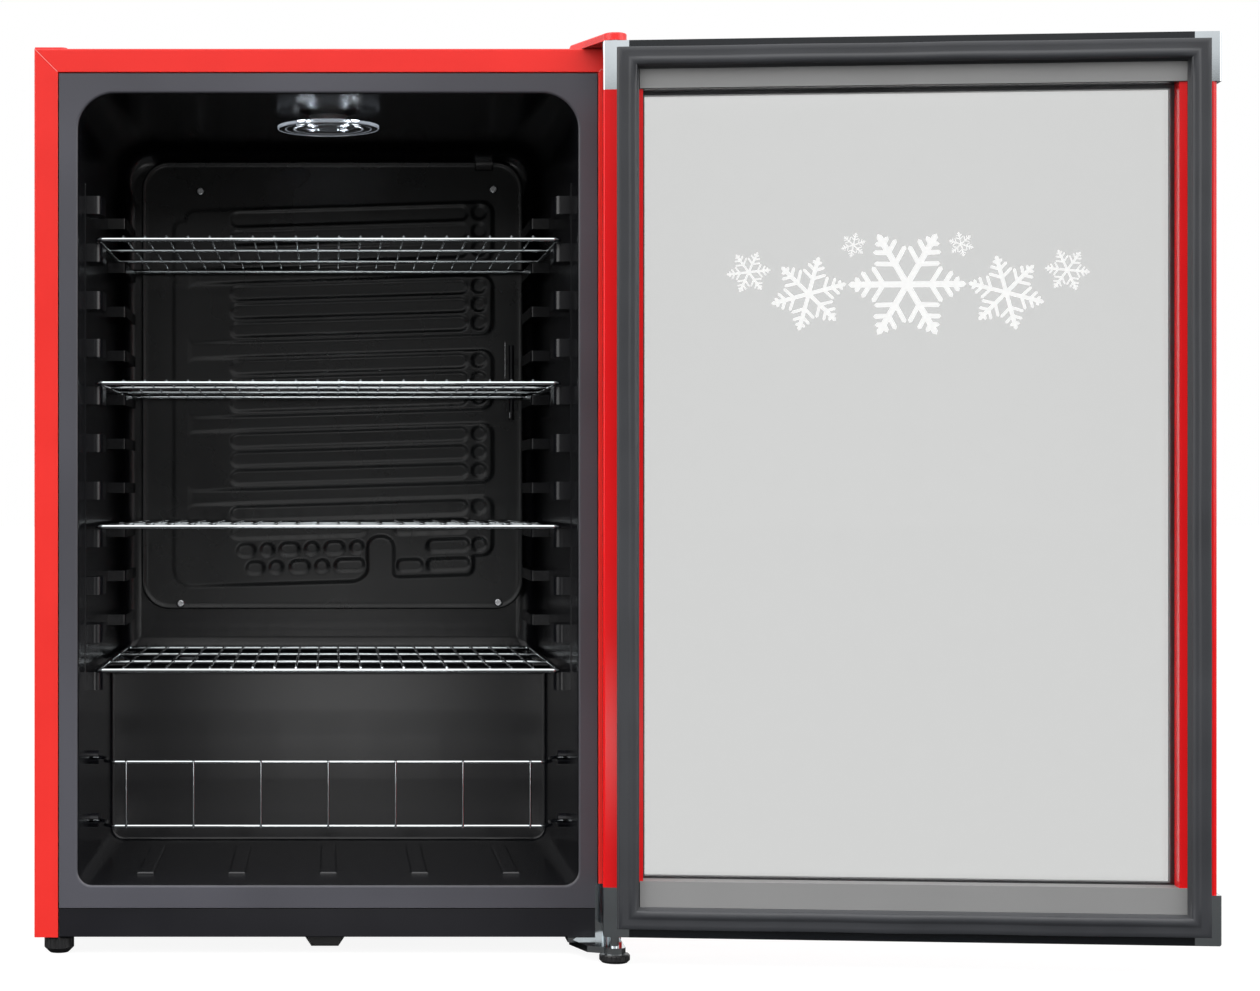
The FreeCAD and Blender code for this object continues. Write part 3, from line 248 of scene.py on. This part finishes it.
M = {
    "red_paint": surface("red_paint", (0.86, 0.030, 0.024), 0.34, grain=700, bump=0.08, spec=0.35,
                         tone=0.03),
    "red_plastic": surface("red_plastic", (0.82, 0.022, 0.020), 0.30, grain=1100, bump=0.06,
                           tone=0.04),
    "door_red": surface("door_red", (0.80, 0.010, 0.012), 0.16, grain=900, bump=0.03, tone=0.03,
                        spec=0.28),
    "liner_black": surface("liner_black", (0.016, 0.0165, 0.021), 0.36, grain=1500, bump=0.10,
                           tone=0.2),
    "black_plastic": surface("black_plastic", (0.008, 0.008, 0.011), 0.34, grain=1300, bump=0.12,
                             spec=0.4),
    "rail_black": surface("rail_black", (0.008, 0.010, 0.013), 0.18, grain=1200, bump=0.04),
    "foam": surface("foam", (0.75, 0.66, 0.42), 0.9, grain=260, bump=0.6, depth=0.001),
    "galvanised": surface("galvanised", (0.55, 0.56, 0.57), 0.38, metal=1.0, grain=90, bump=0.05,
                          mottle=60, tone=0.15),
    "black_steel": surface("black_steel", (0.015, 0.015, 0.016), 0.35, grain=900, bump=0.12),
    "chrome": surface("chrome", (0.60, 0.64, 0.66), 0.09, metal=1.0, grain=600, bump=0.02,
                      tone=0.05),
    "zinc": surface("zinc", (0.62, 0.65, 0.67), 0.14, metal=1.0, grain=500, bump=0.04),
    "evap_black": surface("evap_black", (0.010, 0.011, 0.012), 0.28, grain=420, bump=0.08),
    "lens_clear": clear("lens_clear", (0.97, 0.98, 0.99), 0.02, 1.49),
    "lamp_white": surface("lamp_white", (0.62, 0.63, 0.64), 0.35, grain=900, bump=0.06),
    "lamp_board": surface("lamp_board", (0.20, 0.21, 0.22), 0.4, grain=500, bump=0.1),
    "knob_grey": surface("knob_grey", (0.03, 0.03, 0.033), 0.42, grain=1300, bump=0.18),
    "rocker_red": surface("rocker_red", (0.42, 0.02, 0.02), 0.25, grain=1300, bump=0.06),
    "comp_black": surface("comp_black", (0.010, 0.010, 0.011), 0.22, grain=260, bump=0.12,
                          coat=0.5),
    "rubber": surface("rubber", (0.018, 0.018, 0.019), 0.7, grain=900, bump=0.25),
    "copper": surface("copper", (0.72, 0.33, 0.18), 0.28, metal=1.0, grain=160, bump=0.08,
                      tone=0.25, mottle=40),
    "tray_grey": surface("tray_grey", (0.20, 0.21, 0.22), 0.5, grain=900, bump=0.15),
    "foot_black": surface("foot_black", (0.012, 0.012, 0.013), 0.38, grain=1200, bump=0.12),
    "cap_chrome": surface("cap_chrome", (0.62, 0.67, 0.70), 0.06, metal=1.0, grain=700, bump=0.01),
    "gasket_grey": surface("gasket_grey", (0.034, 0.036, 0.041), 0.42, grain=1400, bump=0.12),
    "strip_grey": surface("strip_grey", (0.25, 0.25, 0.25), 0.5, grain=1200, bump=0.04, tone=0.02),
    "glass": clear("glass", (0.817, 0.82, 0.817), 0.008),
    "spacer": surface("spacer", (0.10, 0.10, 0.105), 0.35, metal=1.0, grain=700, bump=0.08),
    "bush": surface("bush", (0.72, 0.71, 0.66), 0.45, grain=1100, bump=0.1),
    "screw": surface("screw", (0.70, 0.71, 0.73), 0.22, metal=1.0, grain=600, bump=0.05),
}


def paint_inside_shade(mat, dark, light, rough_in, rough_out):
    """A dark smooth inside, and a lighter, rougher finish on the flange at the front plane; the
    inside's far darker colour is painted shade.
    """
    tree = mat.node_tree
    new = tree.nodes.new
    link = tree.links.new
    bsdf = tree.nodes["Principled BSDF"]
    coord = new("ShaderNodeTexCoord")
    split = new("ShaderNodeSeparateXYZ")
    link(coord.outputs["Object"], split.inputs[0])
    share = new("ShaderNodeMapRange")
    share.interpolation_type = "SMOOTHSTEP"
    share.inputs["From Min"].default_value = CAB.y + 0.0002
    share.inputs["From Max"].default_value = CAB.y + 0.0012
    share.inputs["To Min"].default_value = 1.0
    share.inputs["To Max"].default_value = 0.0
    link(split.outputs["Y"], share.inputs["Value"])
    cloud = new("ShaderNodeTexNoise")
    cloud.inputs["Scale"].default_value = 5.0
    cloud.inputs["Detail"].default_value = 2.0
    link(coord.outputs["Object"], cloud.inputs["Vector"])
    tone = new("ShaderNodeValToRGB")
    tone.color_ramp.elements[0].position = 0.35
    tone.color_ramp.elements[0].color = tuple(c * 0.86 for c in light) + (1.0,)
    tone.color_ramp.elements[1].position = 0.68
    tone.color_ramp.elements[1].color = tuple(c * 1.18 for c in light) + (1.0,)
    link(cloud.outputs["Fac"], tone.inputs["Fac"])
    # Painted shade: the inside takes the dark colour and the flange the lighter, mottled one.
    paint = new("ShaderNodeMix")
    paint.data_type = "RGBA"
    paint.inputs["A"].default_value = tuple(dark) + (1.0,)
    link(share.outputs["Result"], paint.inputs["Factor"])
    link(tone.outputs["Color"], paint.inputs["B"])
    link(paint.outputs["Result"], bsdf.inputs["Base Color"])
    rough = new("ShaderNodeMapRange")
    rough.inputs["To Min"].default_value = rough_in
    rough.inputs["To Max"].default_value = rough_out
    link(share.outputs["Result"], rough.inputs["Value"])
    link(rough.outputs["Result"], bsdf.inputs["Roughness"])


def light_rings(mat, centre, rings, power):
    """Edge light in a round lens: a faint glow at the given radii about its centre."""
    tree = mat.node_tree
    new = tree.nodes.new
    link = tree.links.new
    bsdf = tree.nodes["Principled BSDF"]
    coord = new("ShaderNodeTexCoord")
    split = new("ShaderNodeSeparateXYZ")
    link(coord.outputs["Object"], split.inputs[0])
    flat = new("ShaderNodeCombineXYZ")
    link(split.outputs["X"], flat.inputs["X"])
    link(split.outputs["Y"], flat.inputs["Y"])
    away = new("ShaderNodeVectorMath")
    away.operation = "DISTANCE"
    link(flat.outputs[0], away.inputs[0])
    away.inputs[1].default_value = (centre.x, centre.y, 0.0)
    total = None
    for radius, half, share in rings:
        near = new("ShaderNodeMath")
        near.operation = "COMPARE"
        link(away.outputs["Value"], near.inputs[0])
        near.inputs[1].default_value = radius
        near.inputs[2].default_value = half
        scaled = new("ShaderNodeMath")
        scaled.operation = "MULTIPLY_ADD"
        link(near.outputs[0], scaled.inputs[0])
        scaled.inputs[1].default_value = share * power
        if total:
            link(total, scaled.inputs[2])
        else:
            scaled.inputs[2].default_value = 0.0
        total = scaled.outputs[0]
    link(total, bsdf.inputs["Emission Strength"])
    bsdf.inputs["Emission Color"].default_value = (0.80, 0.88, 1.0, 1.0)


# Each ring is its radius, half its width, and its share of the power.
light_rings(M["lens_clear"], cab(0.0, LAMP_Y, 0.0),
            ((0.0495, 0.0006, 1.0), (0.042, 0.0005, 0.3), (0.034, 0.0005, 0.4)), 0.22)
# Painted shade: the liner's inside gets a far darker base colour than its flange.
paint_inside_shade(M["liner_black"], (0.0052, 0.0054, 0.0070), (0.066, 0.066, 0.080), 0.24, 0.45)

slots = {s["node"]: s["material_slot"] for s in frame["record"]["subparts"]}
for node, obj in NODES.items():
    for i in range(len(obj.material_slots)):
        obj.material_slots[i].material = M[slots[node]]
    if not obj.material_slots:
        obj.data.materials.append(M[slots[node]])


# ---- mesh helpers -------------------------------------------------------------------------
def door(x, y, z):
    """A point of the closed door, in the terms of cab(), turned to where the door stands open."""
    return Matrix.Rotation(OPEN, 3, "Z") @ cab(x, y, z)


def make_object(name, verts, faces, mat, body, smooth=40.0):
    """A mesh that rides on a body; edges sharper than smooth, in degrees, stay sharp."""
    data = bpy.data.meshes.new(name)
    data.from_pydata([tuple(v) for v in verts], [], faces)
    data.update()
    obj = bpy.data.objects.new(name, data)
    scene.collection.objects.link(obj)
    data.materials.append(mat)
    bm = bmesh.new()
    bm.from_mesh(data)
    bmesh.ops.remove_doubles(bm, verts=bm.verts, dist=1e-6)
    bmesh.ops.recalc_face_normals(bm, faces=bm.faces)
    bm.to_mesh(data)
    bm.free()
    if smooth:
        data.shade_smooth()
        data.set_sharp_from_angle(angle=math.radians(smooth))
    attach(obj, body)
    return obj


def smoothstep(a, b, x):
    """0 below a, 1 above b, and a smooth rise between them."""
    t = np.clip((x - a) / (b - a), 0.0, 1.0)
    return t * t * (3.0 - 2.0 * t)


def rounded_box_distance(x, z, x0, x1, z0, z1, r):
    """Signed distance to a rounded rectangle, negative inside, all in millimetres."""
    cx, cz = (x0 + x1) / 2.0, (z0 + z1) / 2.0
    qx = np.abs(x - cx) - (x1 - x0) / 2.0 + r
    qz = np.abs(z - cz) - (z1 - z0) / 2.0 + r
    outside = np.hypot(np.maximum(qx, 0.0), np.maximum(qz, 0.0))
    return outside + np.minimum(np.maximum(qx, qz), 0.0) - r


# ---- evaporator plate: pressed channels as one relief -------------------------------------
PLATE = (-203.0, 211.0, 302.0, 788.0)         # left, right, bottom and top
PLATE_CORNER = 30.0
PLATE_GRID = 1.25                             # spacing of the relief's points
PANEL_ZS = (713.0, 633.0, 552.0, 472.4, 393.0)
CHANNEL_HEIGHT = 1.35
EDGE_BEAD = 1.5
DEEPEST = 1.8                                 # the most that the relief stands off the plate
# The small islands low on the plate, by row: bottom, top, corner radius, and each one's ends.
ISLAND_ROWS = (
    (386.5, 399.5, 6.4, ((-105.0, 40.0), (72.0, 150.0))),
    (367.0, 379.0, 5.9, ((-98.0, -81.0), (-72.6, -60.6), (-52.0, -33.0), (-24.3, -12.3),
                         (-3.0, 15.5), (24.9, 36.9))),
    (348.0, 359.5, 5.7, ((-88.0, -71.0), (-63.0, -51.0), (-41.0, -22.0), (-13.2, -1.2),
                         (8.0, 38.0))),
    (366.0, 378.0, 5.9, ((108.0, 152.0), (157.0, 170.0))),
    (346.0, 357.0, 5.4, ((75.0, 101.0), (108.0, 152.0))),
)


def plate_regions(gx, gz):
    """Signed distances, in mm, to the inflated panels and to the islands left flat in them."""
    lean = gz - 0.03 * (gx - 160.0)           # the rows run slightly downhill to the left

    def union(boxes):
        return np.minimum.reduce([rounded_box_distance(gx, lean, *box) for box in boxes])

    panels = [(-169.0, 45.0, 335.0, 402.0, 20.0), (68.0, 158.0, 338.5, 402.0, 9.0),
              (-169.0, -150.0, 345.0, 733.0, 9.0)]
    islands = []
    for z in PANEL_ZS:
        panels.append((-157.0, 179.0, z - 34.0, z + 32.0, 13.0))
        for row in (20.0,) if z == PANEL_ZS[-1] else (-20.0, 0.0, 20.0):
            islands.append((-105.0, 150.0, z + row - 7.0, z + row + 7.0, 7.0))
            islands.append((157.0, 170.0, z + row - 6.5, z + row + 6.5, 6.5))
    for bottom, top, corner, spans in ISLAND_ROWS:
        islands += [(left, right, bottom, top, corner) for left, right in spans]
    notch = rounded_box_distance(gx, gz, 46.0, 67.0, 320.0, 377.0, 9.0)
    return np.maximum(union(panels), 3.0 - notch), union(islands)


def evaporator_relief():
    """One sheet, with its channels and the bead along its edge raised towards the front."""
    lo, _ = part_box("evaporator_plate")
    x0, x1, z0, z1 = PLATE
    base = (lo[1] - CAB.y) * 1000.0 + DEEPEST
    xs = np.linspace(x0, x1, int((x1 - x0) / PLATE_GRID) + 1)
    zs = np.linspace(z0, z1, int((z1 - z0) / PLATE_GRID) + 1)
    gx, gz = np.meshgrid(xs, zs)
    outline = rounded_box_distance(gx, gz, x0, x1, z0, z1, PLATE_CORNER)
    inflated, islands = plate_regions(gx, gz)
    inside = np.minimum(-inflated, islands)
    fade = 0.30 + 0.70 * smoothstep(-150.0, -60.0, gx)      # shallower towards the left
    height = CHANNEL_HEIGHT * fade * smoothstep(-1.6, 3.4, inside)
    height += EDGE_BEAD * np.exp(-((np.minimum(-outline, 30.0) - 1.5) / 2.2) ** 2)
    front = base - np.clip(height, 0.0, DEEPEST)

    ox, oz = np.gradient(outline, xs[1] - xs[0])[::-1]
    over = np.clip(outline, 0.0, 3.0)         # points just outside move onto the outline
    px = gx - over * ox
    pz = gz - over * oz
    notch = (gx > 160.0) & (gx < 178.0) & (gz > 780.0)
    keep = (outline < 2.2) & ~notch
    rows, cols = gx.shape
    index = np.arange(rows * cols).reshape(rows, cols)
    verts = [cab(a, b, c) for a, b, c in zip(px.ravel(), front.ravel(), pz.ravel())]
    whole = keep[:-1, :-1] & keep[1:, :-1] & keep[:-1, 1:] & keep[1:, 1:]
    faces = [
        (index[i, j], index[i, j + 1], index[i + 1, j + 1], index[i + 1, j])
        for i, j in zip(*np.nonzero(whole))
    ]
    used = sorted({int(k) for f in faces for k in f})
    remap = {k: n for n, k in enumerate(used)}
    verts = [verts[k] for k in used]
    faces = [tuple(remap[int(k)] for k in f) for f in faces]
    plate = make_object("evaporator_relief", verts, faces, M["evap_black"], "cabinet", 60.0)
    thick = plate.modifiers.new("sheet", "SOLIDIFY")
    thick.thickness = 0.0014
    thick.offset = -1.0 if plate.data.polygons[0].normal.y < 0 else 1.0
    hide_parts("evaporator_plate")


evaporator_relief()


# ---- door gasket: mitred soft profile -----------------------------------------------------
def gasket_profile():
    """Across the strip and up from the door's face, in mm: the foot, the bellows, the magnet."""
    return [(0.0, 0.0), (0.0, 1.7), (1.2, 2.3), (2.4, 2.9), (2.8, 4.2), (2.5, 6.0), (1.4, 7.2),
            (1.0, 8.4), (1.2, 9.5), (2.0, 9.95), (5.5, 10.0), (9.5, 9.95), (10.6, 10.1),
            (11.6, 10.6), (13.0, 10.95), (14.8, 10.95), (16.4, 10.5), (17.7, 9.6), (18.3, 8.4),
            (17.9, 7.4), (16.6, 6.6), (16.2, 5.0), (16.5, 3.4), (17.6, 2.5), (19.2, 2.2),
            (20.0, 1.6), (20.0, 0.0)]


def looseness(w):
    """How far a point of the profile can wander: none at the foot, all of it near the top."""
    return min(1.0, w / 9.0)


def make_gasket():
    """The profile carried round the door, mitred at the corners and slightly wavy between."""
    x0, x1, z0, z1 = -262.5, 260.0, 34.3, 830.7
    corners = [(x0, z0, 1, 1), (x1, z0, -1, 1), (x1, z1, -1, -1), (x0, z1, 1, -1)]
    profile = gasket_profile()
    cuts = 40                                 # rings along each side
    sway, sink = 0.22, 0.12                   # how far the strip wanders sideways and in
    verts = []
    rings = []
    for k in range(4):
        ax, az, asx, asz = corners[k]
        bx, bz, bsx, bsz = corners[(k + 1) % 4]
        for i in range(cuts):
            t = i / cuts
            ring = []
            for u, w in profile:
                pax, paz = ax + asx * u, az + asz * u
                pbx, pbz = bx + bsx * u, bz + bsz * u
                x = pax + (pbx - pax) * t
                z = paz + (pbz - paz) * t
                mid = math.sin(math.pi * t) ** 0.5
                phase = 3.1 * k + 9.0 * t
                soft = sway * mid * math.sin(phase * 2.3) * looseness(w)
                if k % 2 == 0:
                    z += soft
                else:
                    x += soft
                y = SEAT_Y + w - sink * mid * looseness(w) * (1.0 + math.sin(phase * 3.7))
                ring.append(len(verts))
                verts.append(door(x, y, z))
            rings.append(ring)
    faces = []
    n = len(profile)
    for r in range(len(rings)):
        a = rings[r]
        b = rings[(r + 1) % len(rings)]
        for i in range(n):
            j = (i + 1) % n
            faces.append((a[i], a[j], b[j], b[i]))
    seal = make_object("door_gasket", verts, faces, M["gasket_grey"], "door", 34.0)
    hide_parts("gasket")


make_gasket()


# ---- printed snow crystals on the inside of the outer pane --------------------------------
def crystal_bars(cx, cz, radius, turn):
    """The outlines of a crystal's bars: six arms, each with three pairs of twigs."""
    bars = []                                 # start, length, direction, lean, half width
    for arm in range(6):
        a = turn + math.radians(60.0 * arm)
        bars.append((0.0, radius, a, 0.0, radius * 0.055))
        for where, length in ((0.42, 0.34), (0.66, 0.24), (0.84, 0.12)):
            for side in (-1, 1):
                bars.append((radius * where, radius * length, a, side * math.radians(58.0),
                             radius * 0.042))
    quads = []
    for start, length, a, lean, half in bars:
        ox = cx + start * math.cos(a)
        oz = cz + start * math.sin(a)
        dx, dz = math.cos(a + lean), math.sin(a + lean)
        nx, nz = -dz * half, dx * half
        ex, ez = ox + dx * length, oz + dz * length
        quads.append([(ox + nx, oz + nz), (ox - nx, oz - nz), (ex - nx, ez - nz),
                      (ex + dx * half, ez + dz * half), (ex + nx, ez + nz)])
    return quads


def make_print():
    """A row of crystals; each bar lies a hair above the last, so that none fight for a plane."""
    verts = []
    faces = []
    # Each crystal's place from the middle one, its radius and its turn.
    places = ((0.0, 0.0, 50.0, 0.0), (-88.0, -8.0, 33.0, 0.26), (88.0, -8.0, 33.0, -0.26),
              (-142.0, 12.0, 19.0, 0.1), (142.0, 12.0, 19.0, -0.1),
              (-48.0, 36.0, 11.0, 0.3), (48.0, 36.0, 11.0, -0.3))
    for dx, dz, radius, turn in places:
        x, z = PRINT_MIDDLE[0] + dx, PRINT_MIDDLE[1] + dz
        for layer, quad in enumerate(crystal_bars(x, z, radius, turn)):
            y = PRINT_Y + 0.0004 * layer
            base = len(verts)
            verts += [door(u, y, v) for u, v in quad]
            faces.append(tuple(range(base, base + len(quad))))
    white = surface("print_white", (0.90, 0.90, 0.89), 0.5, grain=1500, bump=0.05, tone=0.02)
    # Painted light: the print is made to glow faintly, though it is no lamp.
    glowing_ink = white.node_tree.nodes["Principled BSDF"]
    glowing_ink.inputs["Emission Color"].default_value = (1.0, 1.0, 1.0, 1.0)
    glowing_ink.inputs["Emission Strength"].default_value = 0.75
    art = make_object("glass_print", verts, faces, white, "door", 0)


make_print()


# ---- painted highlight along the mitre seams of the front flange --------------------------
def make_mitre_seams():
    """A painted highlight: a pale line across each top corner of the painted flange, 0.04 mm
    before its face, where light catches the mitre seam.
    """
    verts = []
    faces = []
    for side in (-1.0, 1.0):
        base = len(verts)
        for x, z in ((272.3, 839.4), (271.9, 839.8), (250.9, 818.8), (251.3, 818.4)):
            verts.append(cab(side * x, -0.04, z))
        faces.append((base, base + 1, base + 2, base + 3))
    # Painted highlight: a lighter red for the light caught along each mitre seam.
    seam = surface("seam_painted_highlight", (0.90, 0.30, 0.28), 0.4, grain=900, bump=0.05, tone=0.05)
    art = make_object("mitre_seams", verts, faces, seam, "cabinet", 0)


make_mitre_seams()


# ---- face of the bracket under the front edge ---------------------------------------------
def make_bracket_face():
    """A thin plate that closes the front of the hat section."""
    front, back = 12.4, 13.2
    outline = ((-19.6, 15.6), (-14.3, 7.4), (8.1, 7.4), (13.4, 15.6))
    verts = [cab(x, y, z) for y in (front, back) for x, z in outline]
    faces = [(0, 1, 2, 3), (7, 6, 5, 4)]
    faces += [(i, (i + 1) % 4, (i + 1) % 4 + 4, i + 4) for i in range(4)]
    plate = make_object("base_bracket_face", verts, faces, M["black_steel"], "cabinet", 0)


make_bracket_face()


# ---- thermostat's capillary on the evaporator plate ---------------------------------------
def make_capillary():
    """Two short upright rods: the visible length of the capillary, and the sensor's tip."""
    around = 10
    for name, x, radius, z0, z1 in (("sensor_capillary", 191.4, 0.55, 552.0, 592.0),
                                    ("sensor_tip", 196.7, 0.95, 509.0, 515.5)):
        verts = []
        for z in (z0, z1):
            for k in range(around):
                t = 2.0 * math.pi * k / around
                verts.append(cab(x + radius * math.cos(t), SENSOR_Y + radius * math.sin(t), z))
        faces = [tuple(range(around)), tuple(range(around, 2 * around))]
        faces += [(k, (k + 1) % around, (k + 1) % around + around, k + around)
                  for k in range(around)]
        tube = make_object(name, verts, faces, M["screw"], "cabinet")


make_capillary()


# ---- lit LEDs under the lens --------------------------------------------------------------
def make_leds():
    """Low domes on the lamp board, pointing down."""
    verts = []
    faces = []
    rings = 6
    around = 16
    for i in range(LED_COUNT):
        a = math.radians(45.0 + 360.0 / LED_COUNT * i)
        cx, cy = LED_RING * math.cos(a), LAMP_Y + LED_RING * math.sin(a)
        base = len(verts)
        for r in range(rings + 1):
            lat = math.pi / 2.0 * r / rings
            for k in range(around):
                t = 2.0 * math.pi * k / around
                verts.append(cab(cx + LED_RADIUS * math.cos(lat) * math.cos(t),
                                 cy + LED_RADIUS * math.cos(lat) * math.sin(t),
                                 BOARD_Z - LED_HEIGHT * math.sin(lat)))
        for r in range(rings):
            for k in range(around):
                j = (k + 1) % around
                faces.append((base + r * around + k, base + r * around + j,
                              base + (r + 1) * around + j, base + (r + 1) * around + k))
    leds = make_object("lamp_leds", verts, faces, glowing("led_light", (0.86, 0.93, 1.0), 120.0),
                       "cabinet", 60.0)


make_leds()


# ---- stage --------------------------------------------------------------------------------
def floor_material():
    """White where it is seen directly or through glass, and a mid grey for the light it gives."""
    mat, tree, bsdf = principled("floor_white")
    new = tree.nodes.new
    link = tree.links.new
    bsdf.inputs["Base Color"].default_value = (0.05, 0.05, 0.05, 1.0)
    bsdf.inputs["Roughness"].default_value = 0.9
    bsdf.inputs["Specular IOR Level"].default_value = 0.1
    coord = new("ShaderNodeTexCoord")
    noise = new("ShaderNodeTexNoise")
    noise.inputs["Scale"].default_value = 2.0
    link(coord.outputs["Object"], noise.inputs["Vector"])
    tint = new("ShaderNodeMapRange")
    tint.inputs["To Min"].default_value = 0.90
    tint.inputs["To Max"].default_value = 0.92
    link(noise.outputs["Fac"], tint.inputs["Value"])
    glow = new("ShaderNodeEmission")
    link(tint.outputs["Result"], glow.inputs["Strength"])
    cover = new("ShaderNodeBsdfDiffuse")
    cover.inputs["Color"].default_value = (0.16, 0.16, 0.16, 1.0)
    bright = new("ShaderNodeAddShader")
    link(glow.outputs[0], bright.inputs[0])
    link(cover.outputs[0], bright.inputs[1])
    path = new("ShaderNodeLightPath")
    seen = new("ShaderNodeMath")
    seen.operation = "MAXIMUM"
    link(path.outputs["Is Camera Ray"], seen.inputs[0])
    link(path.outputs["Is Transmission Ray"], seen.inputs[1])
    plain = new("ShaderNodeEmission")
    through = new("ShaderNodeMixShader")
    link(path.outputs["Is Transmission Ray"], through.inputs["Fac"])
    link(bright.outputs[0], through.inputs[1])
    link(plain.outputs[0], through.inputs[2])
    mix = new("ShaderNodeMixShader")
    link(seen.outputs[0], mix.inputs["Fac"])
    link(bsdf.outputs[0], mix.inputs[1])
    link(through.outputs[0], mix.inputs[2])
    link(mix.outputs[0], tree.nodes["Material Output"].inputs["Surface"])
    return mat


def make_floor():
    """A wide plane half a millimetre below the soles, so that it shares no plane with them."""
    half, drop = 30, -0.0005
    mesh = bpy.data.meshes.new("floor")
    mesh.from_pydata([(-half, -half, drop), (half, -half, drop), (half, half, drop),
                      (-half, half, drop)], [], [(0, 1, 2, 3)])
    floor = bpy.data.objects.new("floor", mesh)
    scene.collection.objects.link(floor)
    mesh.materials.append(floor_material())


make_floor()
